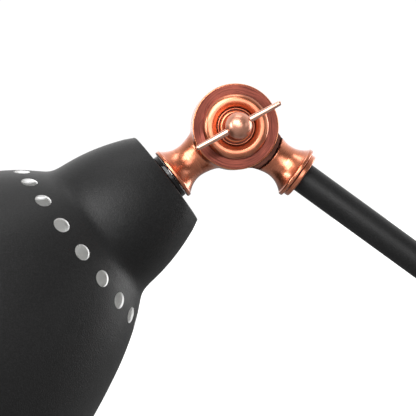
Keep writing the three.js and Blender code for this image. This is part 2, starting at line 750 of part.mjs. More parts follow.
// The same face moved inwards by the wall.
function inside(face, wall) {
  return face.map(([r, d], i) => {
    const [r0, d0] = face[Math.max(i - 1, 0)];
    const [r1, d1] = face[Math.min(i + 1, face.length - 1)];
    const length = Math.hypot(r1 - r0, d1 - d0);
    return [r - (wall * (d1 - d0)) / length, d + (wall * (r1 - r0)) / length];
  });
}

function buildShade(group) {
  const outer = shadeFace();
  const inner = inside(outer.slice(1), SHADE_WALL);
  const [rimR, rimD] = outer.at(-1);
  const bead = arc([rimR - SHADE_WALL / 2, rimD], SHADE_RIM_BEAD, -40, 220, 4);
  const shell = turned(
    [
      [nippleBoreFit, SHADE_AT],
      ...outer.slice(0, -1),
      ...bead,
      ...inner.slice(0, -1).reverse(),
      [nippleBoreFit, SHADE_AT + SHADE_WALL],
    ],
    SHADE_SIDES,
  );
  const facetTurn = radians(180 / SHADE_SIDES + HOLE_FIRST_ANGLE);
  const face = shadeFaceAt(outer, SHADE_AT + HOLE_AT);
  const drills = Array.from({ length: HOLE_COUNT }, (_, i) =>
    rod(HOLE_RADIUS, -2 * HOLE_RADIUS, 2 * HOLE_RADIUS, HOLE_SIDES)
      .rotateZ(face.slope)
      .translate(SHADE_AT + HOLE_AT, face.radius, 0)
      .rotateX(Math.PI - radians(HOLE_FIRST_ANGLE + (360 * i) / HOLE_COUNT)),
  );
  add(group, "shade", cut(alongX(shell).rotateX(-facetTurn), ...drills), BLACK_PAINT);
}

// The face's radius at a distance along the axis, and its slope there in radians.
function shadeFaceAt(face, distance) {
  const i = face.findIndex(([, d]) => d > distance);
  const [[r0, d0], [r1, d1]] = [face[i - 1], face[i]];
  const share = (distance - d0) / (d1 - d0);
  return { radius: r0 + share * (r1 - r0), slope: Math.atan2(r1 - r0, d1 - d0) };
}

function buildLampholder(group) {
  const innerTop = SHADE_AT + SHADE_WALL;
  const nutFrom = innerTop + SEAT_GAP;
  add(group, "shade_locknut", alongX(locknut(nutFrom)), STEEL);

  const capFrom = nutFrom + LOCKNUT_HEIGHT + SEAT_GAP;
  const capTo = capFrom + HOLDER_CAP_LENGTH;
  const capInner = HOLDER_RADIUS - HOLDER_WALL;
  const domeRadius = HOLDER_RADIUS - HOLDER_TOP_RADIUS - 2;
  const cap = turned([
    [nippleBoreFit, capFrom],
    [HOLDER_TOP_RADIUS, capFrom],
    ...arc([HOLDER_TOP_RADIUS + 2, capFrom + domeRadius + 1], domeRadius, -70, 0, 3),
    [HOLDER_RADIUS, capTo],
    [capInner, capTo],
    [capInner, capFrom + domeRadius],
    [HOLDER_TOP_RADIUS, capFrom + HOLDER_WALL],
    [nippleBoreFit, capFrom + HOLDER_WALL],
  ]);
  add(group, "holder_cap", alongX(cap), CERAMIC);
  const nipple = ring(NIPPLE_RADIUS, NIPPLE_BORE, nippleEnd, capFrom + HOLDER_WALL + 2, COARSE_SIDES);
  add(group, "shade_nipple", alongX(nipple), STEEL);

  const insertTo = capTo - 0.5;
  const insertFrom = insertTo - INSERT_THICKNESS;
  add(group, "holder_insert", alongX(rod(INSERT_RADIUS, insertFrom, insertTo)), CERAMIC);
  const bodyFrom = capTo + SEAT_GAP;
  const bodyTo = bodyFrom + HOLDER_BODY_LENGTH;
  const shellInner = BULB_CAP_RADIUS + FIT_GAP;
  const shellOuter = shellInner + SHELL_WALL;
  add(group, "holder_body", alongX(ring(HOLDER_RADIUS, shellOuter + FIT_GAP, bodyFrom, bodyTo)), CERAMIC);
  const shell = ring(shellOuter, shellInner, bodyFrom, bodyFrom + SHELL_LENGTH);
  add(group, "holder_shell", alongX(shell), BRASS);
  const contactFrom = insertTo + SEAT_GAP;
  const contactTo = contactFrom + CONTACT_THICKNESS;
  const contact = turned(
    [
      [0, contactFrom],
      [CONTACT_RADIUS, contactFrom],
      [CONTACT_RADIUS, contactTo - 0.6],
      [0, contactTo],
    ],
    COARSE_SIDES,
  );
  add(group, "holder_contact", alongX(contact), BRASS);

  const bulbFrom = contactTo + SEAT_GAP;
  buildBulb(group, bulbFrom);
  add(group, "head_lead", lead([
    ...leadThroughNeck(-1),
    [nippleEnd, -0.8, 0],
    [nippleEnd + 6, 0, 0],
    [SHADE_AT, 0, 0],
    [insertFrom - SEAT_GAP, 0, 0],
  ]), PVC);
}

function buildBulb(group, from) {
  const capTo = from + BULB_CAP_LENGTH;
  const cap = turned([
    [0, from],
    [5, from + 0.4],
    [BULB_CAP_RADIUS - 2.5, from + 3],
    [BULB_CAP_RADIUS, from + 5],
    [BULB_CAP_RADIUS, capTo],
    [BULB_CAP_RADIUS - BULB_CAP_WALL, capTo],
    [BULB_CAP_RADIUS - BULB_CAP_WALL, from + 6],
    [0, from + 3],
  ]);
  add(group, "bulb_cap", alongX(cap), BRASS);
  const centre = from + BULB_LENGTH - BULB_RADIUS;
  const neckFrom = capTo + SEAT_GAP;
  const sphereFrom = -38;
  const profile = (radius, neck) => [
    [neck, neckFrom],
    [neck + 0.4, neckFrom + 5],
    ...arc([0, centre], radius, sphereFrom, 90, 6).slice(0, -1),
  ];
  const neckRadius = BULB_CAP_RADIUS - 0.5;
  const glass = turned([
    ...profile(BULB_RADIUS, neckRadius),
    [0, centre + BULB_RADIUS],
    [0, centre + BULB_RADIUS - BULB_WALL],
    ...profile(BULB_RADIUS - BULB_WALL, neckRadius - BULB_WALL).reverse(),
  ]);
  add(group, "bulb_glass", alongX(glass), OPAL);
}

function buildHead(parent) {
  const group = turnedGroup(parent, headHinge, SHADE_DIRECTION);
  frontHalf(group, "head_knuckle", nippleBoreFit);
  collar(group, "shade_collar", nippleBoreFit);
  buildShade(group);
  buildLampholder(group);
}

// ---- The lamp ------------------------------------------------------------------------------------

const lamp = new THREE.Group();
buildBase(lamp);
buildArm(lamp, "lower_arm", baseHinge, {
  direction: LOWER_ARM_DIRECTION,
  length: LOWER_ARM_LENGTH,
  knuckles: ["base_knuckle", "elbow_knuckle"],
});
buildArm(lamp, "upper_arm", elbowHinge, {
  direction: UPPER_ARM_DIRECTION,
  length: UPPER_ARM_LENGTH,
  knuckles: ["elbow_knuckle", "head_knuckle"],
});
clampScrew(lamp, "base_knuckle", baseHinge, BAR_DIRECTIONS.base);
clampScrew(lamp, "elbow_knuckle", elbowHinge, BAR_DIRECTIONS.elbow);
clampScrew(lamp, "head_knuckle", headHinge, BAR_DIRECTIONS.head);
buildHead(lamp);

export default lamp;
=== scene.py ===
"""The looks of an adjustable desk lamp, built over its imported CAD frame.

Lengths are millimetres until a mesh is made.
"""

import math

import bpy
import numpy as np
from mathutils import Matrix, Vector


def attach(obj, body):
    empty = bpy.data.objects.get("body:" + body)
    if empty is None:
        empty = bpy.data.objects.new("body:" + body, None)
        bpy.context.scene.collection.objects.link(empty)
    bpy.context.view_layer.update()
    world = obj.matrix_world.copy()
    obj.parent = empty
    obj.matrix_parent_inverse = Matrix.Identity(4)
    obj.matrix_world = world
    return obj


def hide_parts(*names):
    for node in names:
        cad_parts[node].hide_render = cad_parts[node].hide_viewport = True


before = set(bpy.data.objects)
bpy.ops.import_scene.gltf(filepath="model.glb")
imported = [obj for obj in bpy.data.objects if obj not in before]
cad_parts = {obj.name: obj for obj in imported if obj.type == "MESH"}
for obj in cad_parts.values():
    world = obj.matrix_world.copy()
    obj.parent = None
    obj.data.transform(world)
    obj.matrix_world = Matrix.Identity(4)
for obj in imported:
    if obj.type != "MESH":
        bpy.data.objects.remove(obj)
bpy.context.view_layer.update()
MM = 0.001

# ---- Driving dimensions, as in the CAD frame -----------------------------------------------------
GAP = 0.3
ARM_LENGTH = 260.0
LOWER_ARM, UPPER_ARM, SHADE = 65.0, 143.5, 216.6
DISC_RADIUS, DISC_HALF, DISC_SPLIT = 17.2, 9.2, 1.4
RELIEF_GAP = 2.4
RELIEF_RADIUS = DISC_RADIUS + RELIEF_GAP
NECK_LENGTH, SOCKET_AT = 31.5, 20.0
FLANGE_RADIUS = 10.9
COLLAR_RADIUS, COLLAR_THICKNESS = 9.6, 2.0
COVER_RADIUS, CROWN_RADIUS, RECESS_RADIUS = 13.2, 10.3, 7.7
COVER_HEIGHT, COVER_FLOOR = 4.0, 1.2
BALL_RADIUS, BALL_STANDOFF = 5.3, 15.5
BAR_LENGTH, BAR_RADIUS, BAR_TIP_RADIUS = 38.0, 1.4, 1.0
BAR_DIRECTIONS = {"base": 150.0, "elbow": 65.0, "head": 28.1}
NUT_FLAT, NUT_HEIGHT, NUT_DOME = 5.6, 5.0, 4.6
TUBE_RADIUS, TUBE_WALL = 6.2, 1.2
BASE_RADIUS, BASE_WALL, BASE_SIDE, BASE_SHOULDER = 90.0, 1.5, 18.0, 4.0
BASE_SLOPE, BOSS_RADIUS, BOSS_RISE, BOSS_FILLET = 3.0, 22.0, 3.0, 6.0
PAD_THICKNESS, PAD_INSET = 2.0, 4.0
SHADE_WALL = 0.8
SHADE_CORNER = 0.9
SHADE_TOP_RADIUS = 21.0
SHADE_FACE = [  # distance from the top, radius
    (4.0, 22.7), (8.4, 24.4), (13.2, 26.0), (18.0, 27.3), (22.8, 28.3), (27.6, 29.0), (31.4, 29.45),
    (34.2, 30.1), (36.6, 31.4), (39.6, 34.0), (44.4, 38.1), (51.6, 43.1), (61.2, 48.7), (75.6, 55.7),
    (92.0, 62.5), (110.0, 68.9), (130.0, 74.6),
]
RIM_BEAD_RADIUS = 1.1
STEM_BORE = 5.3
COLLAR_TUBE_BORE = 6.35
HOLE_COUNT, HOLE_RADIUS, HOLE_AT, HOLE_FIRST = 18, 3.25, 44.3, 3.0
NUT_AND_WASHER = 3.0
HOLDER_RADIUS, HOLDER_CAP_LENGTH, HOLDER_BODY_LENGTH, SHELL_LENGTH = 19.0, 22.0, 25.0, 20.0
BULB_LENGTH, BULB_RADIUS, BULB_CAP_LENGTH, GLASS_WALL = 78.0, 22.5, 23.0, 1.0
THREAD_PITCH = 3.6
GLAND_RADIUS, GLAND_BORE, GLAND_REACH = 6.6, 3.6, 2.5
GLAND_HOLE_RADIUS, SWITCH_HOLE_RADIUS = 5.5, 7.8
SWITCH_AT, BEZEL_RADIUS, BUTTON_RADIUS = 58.0, 9.5, 5.6

COVER_TOP = BASE_SIDE + BASE_SHOULDER + BASE_SLOPE + BOSS_RISE
SHADE_AT = NECK_LENGTH + COLLAR_THICKNESS + 2 * GAP
BASE_HINGE = (0.0, COVER_TOP + 2 * GAP + COLLAR_THICKNESS + NECK_LENGTH)


def along(point, length, direction):
    a = math.radians(direction)
    return point[0] + length * math.cos(a), point[1] + length * math.sin(a)


ELBOW_HINGE = along(BASE_HINGE, ARM_LENGTH, LOWER_ARM)
HEAD_HINGE = along(ELBOW_HINGE, ARM_LENGTH, UPPER_ARM)


def at_hinge(point, direction=0.0):
    """Puts a local frame's origin on a hinge, with its +X turned to a direction in the XZ plane."""
    return Matrix.Translation((point[0], 0, point[1])) @ Matrix.Rotation(-math.radians(direction), 4, "Y")


ALONG_X = Matrix.Rotation(math.radians(90), 4, "Y")
FACING_FRONT = Matrix.Rotation(math.radians(90), 4, "X")
FACING_REAR = Matrix.Rotation(math.radians(-90), 4, "X")
UPRIGHT = Matrix.Identity(4)

# ---- Camera --------------------------------------------------------------------------------------
camera_data = bpy.data.cameras.new("camera")
camera = bpy.data.objects.new("camera", camera_data)
bpy.context.collection.objects.link(camera)
bpy.context.scene.camera = camera
HEAD = Vector((HEAD_HINGE[0], 0, HEAD_HINGE[1]))
VIEW_FROM = (HEAD + Vector((-72.8, -947.0, -24.2))) * MM
VIEW_AT = (HEAD + Vector((-10.8, 0.0, -32.3))) * MM
VIEW_ROLL = 0.64
camera_data.lens = 204.7
camera_data.sensor_width = 36
camera_data.clip_start = 0.05
camera_data.clip_end = 100
sight = (VIEW_AT - VIEW_FROM).to_track_quat("-Z", "Y").to_matrix().to_4x4()
roll = Matrix.Rotation(math.radians(-VIEW_ROLL), 4, "Z")
camera.matrix_world = Matrix.Translation(VIEW_FROM) @ sight @ roll


# ---- Mesh helpers --------------------------------------------------------------------------------
def finish_mesh(name, vertices, faces, matrix, body, replaced, material, turn=None,
                sharp=32.0, normals=None):
    """A mesh piece from local millimetres. turn gives the brushing coordinates of each vertex."""
    world = np.array([(matrix @ Vector(v))[:] for v in vertices]) * MM
    mesh = bpy.data.meshes.new(name)
    mesh.from_pydata(world.tolist(), [], [list(f) for f in faces])
    mesh.validate()
    mesh.polygons.foreach_set("use_smooth", np.ones(len(mesh.polygons), bool))
    if turn is not None:
        layer = mesh.attributes.new("turn", "FLOAT_VECTOR", "POINT")
        layer.data.foreach_set("vector", np.asarray(turn, np.float32).ravel())
    if normals is not None:
        spin = np.array(matrix.to_3x3())
        mesh.normals_split_custom_set_from_vertices((np.asarray(normals) @ spin.T).tolist())
    elif sharp:
        mark_sharp(mesh, sharp)
    for m in material if isinstance(material, list) else [material]:
        mesh.materials.append(m)
    obj = bpy.data.objects.new(name, mesh)
    bpy.context.collection.objects.link(obj)
    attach(obj, body)
    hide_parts(replaced)
    return obj


def mark_sharp(mesh, degrees):
    """Edges that fold by more than the angle are drawn crisp."""
    normals = np.zeros(len(mesh.polygons) * 3)
    mesh.polygons.foreach_get("normal", normals)
    normals = normals.reshape(-1, 3)
    faces_of = {}
    for p in mesh.polygons:
        for key in p.edge_keys:
            faces_of.setdefault(key, []).append(p.index)
    limit = math.cos(math.radians(degrees))
    flags = np.zeros(len(mesh.edges), bool)
    for e in mesh.edges:
        sides = faces_of.get(tuple(sorted(e.vertices)), [])
        if len(sides) == 2 and float(normals[sides[0]] @ normals[sides[1]]) < limit:
            flags[e.index] = True
    layer = mesh.attributes.get("sharp_edge") or mesh.attributes.new("sharp_edge", "BOOLEAN", "EDGE")
    layer.data.foreach_set("value", flags)


def rounded(corners, steps=4):
    """Outline through (r, h) or (r, h, fillet) corners, with each fillet drawn as an arc-like curve."""
    out = []
    count = len(corners)
    for i, c in enumerate(corners):
        p = np.array(c[:2], float)
        size = c[2] if len(c) > 2 else 0
        if not size or i in (0, count - 1):
            out.append(tuple(p))
            continue
        a, b = np.array(corners[i - 1][:2], float), np.array(corners[i + 1][:2], float)
        da, db = a - p, b - p
        la, lb = np.linalg.norm(da), np.linalg.norm(db)
        cut = min(size, 0.49 * la, 0.49 * lb)
        start, end = p + da / la * cut, p + db / lb * cut
        for t in np.linspace(0, 1, steps + 1):
            out.append(tuple((1 - t) ** 2 * start + 2 * t * (1 - t) * p + t * t * end))
    return out


def smooth_curve(points, steps=5):
    """Points on a Catmull-Rom curve through the given ones."""
    p = [np.array(q, float) for q in points]
    p = [2 * p[0] - p[1], *p, 2 * p[-1] - p[-2]]
    out = []
    for i in range(1, len(p) - 2):
        for t in np.linspace(0, 1, steps, endpoint=False):
            out.append(tuple(0.5 * (2 * p[i] + (p[i + 1] - p[i - 1]) * t
                                    + (2 * p[i - 1] - 5 * p[i] + 4 * p[i + 1] - p[i + 2]) * t * t
                                    + (3 * p[i] - p[i - 1] - 3 * p[i + 1] + p[i + 2]) * t ** 3)))
    out.append(tuple(p[-2]))
    return out


def arc(r, h, radius, start, end, steps):
    return [(r + radius * math.cos(math.radians(a)), h + radius * math.sin(math.radians(a)))
            for a in np.linspace(start, end, steps + 1)]


def lathe_mesh(profile, sides):
    """Vertices, faces and brushing coordinates of (r, h) points turned about +Z.

    The outline closes on itself unless both its ends are on the axis.
    """
    profile = [tuple(map(float, p)) for p in profile]
    open_ended = profile[0][0] < 1e-6 and profile[-1][0] < 1e-6
    area = sum(a[0] * b[1] - b[0] * a[1] for a, b in zip(profile, profile[1:] + profile[:1]))
    if area < 0:
        profile.reverse()
    lengths = np.cumsum([0] + [math.dist(a, b) for a, b in zip(profile, profile[1:])])
    vertices, turn, rows = [], [], []
    for (r, h), length in zip(profile, lengths):
        if r < 1e-6:
            rows.append([len(vertices)])
            vertices.append((0, 0, h))
            turn.append((length, 1, 0))
        else:
            rows.append(list(range(len(vertices), len(vertices) + sides)))
            for k in range(sides):
                a = 2 * math.pi * k / sides
                vertices.append((r * math.cos(a), r * math.sin(a), h))
                turn.append((length, math.cos(a), math.sin(a)))
    faces = []
    pairs = list(zip(rows, rows[1:])) + ([] if open_ended else [(rows[-1], rows[0])])
    for low, high in pairs:
        for k in range(sides):
            n = (k + 1) % sides
            quad = [low[k % len(low)], low[n % len(low)], high[n % len(high)], high[k % len(high)]]
            quad = list(dict.fromkeys(quad))
            if len(quad) > 2:
                faces.append(quad)
    return vertices, faces, turn


def lathe(name, profile, matrix, body, replaced, material, sides=96, sharp=32.0):
    vertices, faces, turn = lathe_mesh(profile, sides)
    return finish_mesh(name, vertices, faces, matrix, body, replaced, material, turn, sharp)


def ring_profile(outer, inner, start, end, edge=0.25):
    middle = (start + end) / 2
    return rounded([(inner, middle), (inner, start, edge), (outer, start, edge), (outer, end, edge),
                    (inner, end, edge), (inner, middle + 0.001)], 3)


# ---- Materials -----------------------------------------------------------------------------------
class Nodes:
    """A short way to write one material's node tree."""

    def __init__(self, name):
        self.material = bpy.data.materials.new(name)
        self.material.use_nodes = True
        self.tree = self.material.node_tree
        self.shader = self.tree.nodes["Principled BSDF"]

    def node(self, kind, **values):
        n = self.tree.nodes.new(kind)
        for key, value in values.items():
            setattr(n, key, value)
        return n

    def link(self, a, b):
        self.tree.links.new(a, b)

    def set(self, **values):
        for key, value in values.items():
            self.shader.inputs[key.replace("_", " ")].default_value = value

    def place(self, scale):
        """Object coordinates in millimetres times a scale."""
        at = self.node("ShaderNodeTexCoord")
        mapping = self.node("ShaderNodeMapping")
        mapping.inputs["Scale"].default_value = [s * 1000 for s in scale]
        self.link(at.outputs["Object"], mapping.inputs["Vector"])
        return mapping.outputs["Vector"]

    def brushed(self, scale):
        """The piece's own turning coordinates, times a scale."""
        at = self.node("ShaderNodeAttribute")
        at.attribute_name = "turn"
        mapping = self.node("ShaderNodeMapping")
        mapping.inputs["Scale"].default_value = scale
        self.link(at.outputs["Vector"], mapping.inputs["Vector"])
        return mapping.outputs["Vector"]

    def noise(self, vector, scale=1.0, detail=3.0, roughness=0.55):
        n = self.node("ShaderNodeTexNoise")
        n.inputs["Scale"].default_value = scale
        n.inputs["Detail"].default_value = detail
        n.inputs["Roughness"].default_value = roughness
        self.link(vector, n.inputs["Vector"])
        return n.outputs["Fac"]

    def ramp(self, value, low, high, start=0.3, end=0.7):
        """Maps a value to numbers, or to colours when low and high are colours."""
        if isinstance(low, tuple):
            n = self.node("ShaderNodeValToRGB")
            n.color_ramp.elements[0].position, n.color_ramp.elements[1].position = start, end
            n.color_ramp.elements[0].color, n.color_ramp.elements[1].color = (*low, 1), (*high, 1)
            self.link(value, n.inputs["Fac"])
            return n.outputs["Color"]
        n = self.node("ShaderNodeMapRange")
        for key, v in (("From Min", start), ("From Max", end), ("To Min", low), ("To Max", high)):
            n.inputs[key].default_value = v
        self.link(value, n.inputs["Value"])
        return n.outputs["Result"]

    def mix(self, share, a, b):
        """Blends from colour a to colour b, each a tuple or another node's output."""
        n = self.node("ShaderNodeMix", data_type="RGBA")
        factor, first, second = n.inputs[0], n.inputs[6], n.inputs[7]
        self.link(share, factor)
        for source, target in ((a, first), (b, second)):
            if isinstance(source, tuple):
                target.default_value = (*source, 1)
            else:
                self.link(source, target)
        return n.outputs[2]

    def bump(self, height, strength, distance):
        n = self.node("ShaderNodeBump")
        n.inputs["Strength"].default_value = strength
        n.inputs["Distance"].default_value = distance * MM
        self.link(height, n.inputs["Height"])
        return n.outputs["Normal"]

    def done(self, color=None, roughness=None, normal=None):
        for source, name in ((color, "Base Color"), (roughness, "Roughness"), (normal, "Normal")):
            if source is not None:
                self.link(source, self.shader.inputs[name])
        return self.material


def brushed_metal(name, dark, light, rough, lines=1.7, line_bump=0.22, coat=0.0, edge=None):
    """A brushed metal: fine lines that follow the turning, a drifting tone, and, when an edge colour is given,
    a painted highlight where the surface turns away from the object's Y axis.
    """
    m = Nodes(name)
    fine = m.noise(m.brushed((lines, 1.2, 1.2)), 1.0, 2.0, 0.6)
    drift = m.noise(m.place((0.08, 0.08, 0.08)), 1.0, 2.0)
    tone = m.ramp(drift, dark, light, 0.1, 0.75)
    color = m.mix(m.ramp(fine, 0.0, 0.85, 0.42, 0.72), tone, dark)
    # Painted highlight: the edge colour goes where the normal turns away from the Y axis, on rounded edges.
    if edge:
        facing = m.node("ShaderNodeSeparateXYZ")
        m.link(m.node("ShaderNodeTexCoord").outputs["Normal"], facing.inputs[0])
        flat = m.node("ShaderNodeMath", operation="ABSOLUTE")
        m.link(facing.outputs["Y"], flat.inputs[0])
        color = m.mix(m.ramp(flat.outputs[0], 0.0, 1.0, 0.9, 0.985), edge, color)
    roughness = m.ramp(fine, rough[0], rough[1], 0.3, 0.7)
    m.set(Metallic=1.0, Coat_Weight=coat, Coat_Roughness=0.17)
    lines_normal = m.bump(fine, line_bump, 0.05)
    m.link(lines_normal, m.shader.inputs["Coat Normal"])
    return m.done(color, roughness, lines_normal)


def coated(name, color, rough, grain=4.0, peel=0.05, ior=1.42, sparkle=1.15):
    """A powder coat or a moulded skin: orange peel with lighter specks, and duller patches."""
    m = Nodes(name)
    fine = m.noise(m.place((grain, grain, grain)), 1.0, 3.0, 0.6)
    patch = m.noise(m.place((0.03, 0.03, 0.03)), 1.0, 2.0)
    tone = m.ramp(fine, color, tuple(c * sparkle for c in color), 0.4, 0.72)
    roughness = m.ramp(patch, rough[0], rough[1], 0.3, 0.7)
    m.set(IOR=ior)
    return m.done(tone, roughness, m.bump(fine, peel, 0.12))


COPPER = brushed_metal("antique_copper", (0.4, 0.095, 0.042), (0.88, 0.31, 0.155), (0.25, 0.35),
                       5.0, 0.35, coat=0.9)
# A darker copy of the copper: painted shade for the flat disc faces' dark reflection and for the screw's collar
# and neck in the recess, with a painted highlight on rounded edges.
COPPER_PAINTED_SHADE_LIT_EDGE = brushed_metal("copper_painted_shade_lit_edge", (0.03, 0.007, 0.005), (0.24, 0.062, 0.042), (0.26, 0.4),
                            3.0, 0.5, 0.08, edge=(0.85, 0.32, 0.16))
# A lighter copy of the copper for the thumb-screw ball: painted highlight.
COPPER_PAINTED_LIT_BALL = brushed_metal("satin_copper_painted_highlight", (0.6, 0.23, 0.14), (0.9, 0.46, 0.33), (0.32, 0.42),
                            3.0, 0.3, coat=0.4)
# A lighter copy of the copper for the tommy bars: painted highlight, on a polished, low-roughness finish.
COPPER_PAINTED_LIT_BAR = brushed_metal("polished_copper_painted_highlight", (0.72, 0.36, 0.25), (0.92, 0.58, 0.45), (0.16, 0.22),
                              0.15, 0.02, coat=0.5)
# Painted shade for the cover recesses and the knuckles' relief and split.
COPPER_RECESS_PAINTED_SHADE = brushed_metal("dark_copper", (0.03, 0.012, 0.009), (0.09, 0.035, 0.025), (0.2, 0.34))
BLACK = coated("black_powder_coat", (0.004, 0.004, 0.0041), (0.4, 0.48), 1.8, 1.0, ior=1.35, sparkle=3.0)
BLACK_GLOSS = coated("black_gloss", (0.008, 0.007, 0.007), (0.08, 0.14), 2.0, 0.01)
WHITE = coated("white_enamel", (0.8, 0.8, 0.79), (0.3, 0.42), sparkle=1.02)
PLASTIC = coated("black_phenolic", (0.02, 0.018, 0.017), (0.28, 0.4), 2.0, 0.03)
CERAMIC_LOOK = coated("glazed_ceramic", (0.84, 0.84, 0.82), (0.12, 0.22), 1.0, 0.02, sparkle=1.02)
FOAM = coated("foot_foam", (0.018, 0.018, 0.018), (0.85, 0.95), 3.0, 0.6)
FIBRE = coated("fibre", (0.03, 0.022, 0.018), (0.75, 0.9), 3.0, 0.4)
LEAD_LOOK = coated("lead_sheath", (0.012, 0.012, 0.012), (0.4, 0.55), 2.0, 0.05)
IRON_LOOK = coated("cast_iron", (0.06, 0.058, 0.056), (0.6, 0.8), 1.2, 0.5)
STEEL_LOOK = brushed_metal("zinc_plated_steel", (0.42, 0.42, 0.43), (0.6, 0.6, 0.61), (0.25, 0.4))
BRASS_LOOK = brushed_metal("brass", (0.55, 0.4, 0.18), (0.74, 0.58, 0.3), (0.2, 0.34))


def opal():
    m = Nodes("opal_glass")
    cloud = m.noise(m.place((0.05, 0.05, 0.05)), 1.0, 2.0)
    tone = m.ramp(cloud, (0.86, 0.85, 0.82), (0.92, 0.91, 0.89), 0.3, 0.7)
    roughness = m.ramp(cloud, 0.06, 0.12, 0.3, 0.7)
    m.set(IOR=1.5)
    m.shader.inputs["Subsurface Weight"].default_value = 0.3
    m.shader.inputs["Subsurface Radius"].default_value = (0.004, 0.004, 0.004)
    return m.done(tone, roughness)


OPAL_LOOK = opal()


# ---- Knuckle halves ------------------------------------------------------------------------------
NECK_FACE = smooth_curve([
    (2, 10.6), (8, 10.4), (12, 9.8), (16, 8.75), (19, 7.8), (22, 7.3), (24.5, 7.5), (26.5, 8.15),
    (28.2, 9.1), (29.6, 10.2), (30.3, FLANGE_RADIUS), (32.5, FLANGE_RADIUS),
], 10)
NECK_X = np.array([p[0] for p in NECK_FACE])
NECK_R = np.array([p[1] for p in NECK_FACE])


def smooth_min(a, b, k):
    h = np.clip(0.5 + 0.5 * (b - a) / k, 0, 1)
    return b + (a - b) * h - k * h * (1 - h)


def half_distance(p):
    """Signed distance of the front half: a disc on the -Y side of the split, and a waisted neck along +X."""
    x, y, z = p[..., 0], p[..., 1], p[..., 2]
    from_hinge = np.hypot(x, z)
    edge = 0.45
    middle, half = -(DISC_HALF + DISC_SPLIT / 2) / 2, (DISC_HALF - DISC_SPLIT / 2) / 2
    qr, qy = from_hinge - (DISC_RADIUS - edge), np.abs(y - middle) - (half - edge)
    disc = np.minimum(np.maximum(qr, qy), 0) + np.hypot(np.maximum(qr, 0), np.maximum(qy, 0)) - edge
    slope = np.gradient(NECK_R, NECK_X)
    r = np.interp(x, NECK_X, NECK_R)
    lean = np.interp(x, NECK_X, slope)
    side = (np.hypot(y, z) - r) / np.sqrt(1 + lean ** 2)
    end = np.maximum(x - NECK_LENGTH, 2.0 - x)
    neck = -smooth_min(-side, -end, 0.35)
    whole = smooth_min(disc, neck, 1.6)
    other = -smooth_min(RELIEF_RADIUS - from_hinge, y + DISC_SPLIT / 2, 0.2)
    return -smooth_min(-whole, other, 0.3)


def surface_nets(distance, low, high, cell):
    """Vertices and quads of a signed distance's zero surface, with the vertices moved on to it."""
    axes = [np.arange(l, h + cell, cell) for l, h in zip(low, high)]
    grid = np.stack(np.meshgrid(*axes, indexing="ij"), -1)
    values = distance(grid)
    inside = values < 0
    corners = [(i, j, k) for i in (0, 1) for j in (0, 1) for k in (0, 1)]
    shape = tuple(s - 1 for s in values.shape)

    def part(a, o):
        return a[o[0]:o[0] + shape[0], o[1]:o[1] + shape[1], o[2]:o[2] + shape[2]]

    count = sum(part(inside, o).astype(int) for o in corners)
    cells = (count > 0) & (count < 8)
    total, hits = np.zeros(shape + (3,)), np.zeros(shape)
    for a in corners:
        for axis in range(3):
            if a[axis]:
                continue
            b = tuple(1 if i == axis else a[i] for i in range(3))
            va, vb = part(values, a), part(values, b)
            crossing = (va < 0) != (vb < 0)
            t = np.where(crossing, va / np.where(crossing, va - vb, 1), 0)
            point = np.array(a, float) + t[..., None] * (np.array(b) - np.array(a))
            total += point * crossing[..., None]
            hits += crossing
    index = -np.ones(shape, int)
    where = np.argwhere(cells)
    index[cells] = np.arange(len(where))
    vertices = (where + total[cells] / hits[cells][:, None]) * cell + np.array([a[0] for a in axes])
    quads = []
    for axis in range(3):
        u, v = (axis + 1) % 3, (axis + 2) % 3
        inner = [slice(0, None)] * 3
        inner[axis] = slice(0, -1)
        outer = [slice(0, None)] * 3
        outer[axis] = slice(1, None)
        a, b = inside[tuple(inner)], inside[tuple(outer)]
        for flipped in (False, True):
            edges = np.argwhere(a & ~b) if not flipped else np.argwhere(~a & b)
            if not len(edges):
                continue
            keep = (edges[:, u] > 0) & (edges[:, v] > 0) & (edges[:, u] < shape[u]) & (edges[:, v] < shape[v])
            e = edges[keep]
            ring = []
            for du, dv in ((1, 1), (0, 1), (0, 0), (1, 0)):
                o = e.copy()
                o[:, u] -= du
                o[:, v] -= dv
                ring.append(index[o[:, 0], o[:, 1], o[:, 2]])
            quad = np.stack(ring, 1)
            quads.append(quad[:, ::-1] if flipped else quad)
    quads = np.concatenate(quads)
    quads = quads[(quads >= 0).all(1)]
    for _ in range(4):
        d, n = distance(vertices), gradient(distance, vertices)
        vertices = vertices - np.clip(d, -cell, cell)[:, None] * n * 0.9
    return vertices, quads


def gradient(distance, points, reach=0.06):
    g = np.stack([distance(points + reach * e) - distance(points - reach * e) for e in np.eye(3)], -1)
    return g / np.maximum(np.linalg.norm(g, axis=-1, keepdims=True), 1e-9)


def thinned(vertices, quads, share):
    """The same surface with fewer faces where it is flat."""
    mesh = bpy.data.meshes.new("scratch")
    mesh.from_pydata(vertices.tolist(), [], quads.tolist())
    obj = bpy.data.objects.new("scratch", mesh)
    bpy.context.collection.objects.link(obj)
    modifier = obj.modifiers.new("thin", "DECIMATE")
    modifier.ratio = share
    result = obj.evaluated_get(bpy.context.evaluated_depsgraph_get()).to_mesh()
    v = np.array([x.co[:] for x in result.vertices])
    f = [list(p.vertices) for p in result.polygons]
    bpy.data.objects.remove(obj)
    return v, f


def knuckle_half_zones(v, f):
    """Which faces are flat, with the painted shade of their dark reflection (1), or take painted shade inside
    the relief and the split (2).
    """
    centre = np.array([v[face].mean(0) for face in f])
    from_hinge = np.hypot(centre[:, 0], centre[:, 2])
    flat = (centre[:, 1] < 0.4 - DISC_HALF) & (from_hinge < DISC_RADIUS + 0.1)
    relief = (np.abs(from_hinge - RELIEF_RADIUS) < 0.15) & (centre[:, 1] > -DISC_SPLIT / 2 - 0.2)
    split = (np.abs(centre[:, 1] + DISC_SPLIT / 2) < 0.1) & (from_hinge < RELIEF_RADIUS)
    return np.select([relief | split, flat], [2, 1], 0).astype(np.int32)


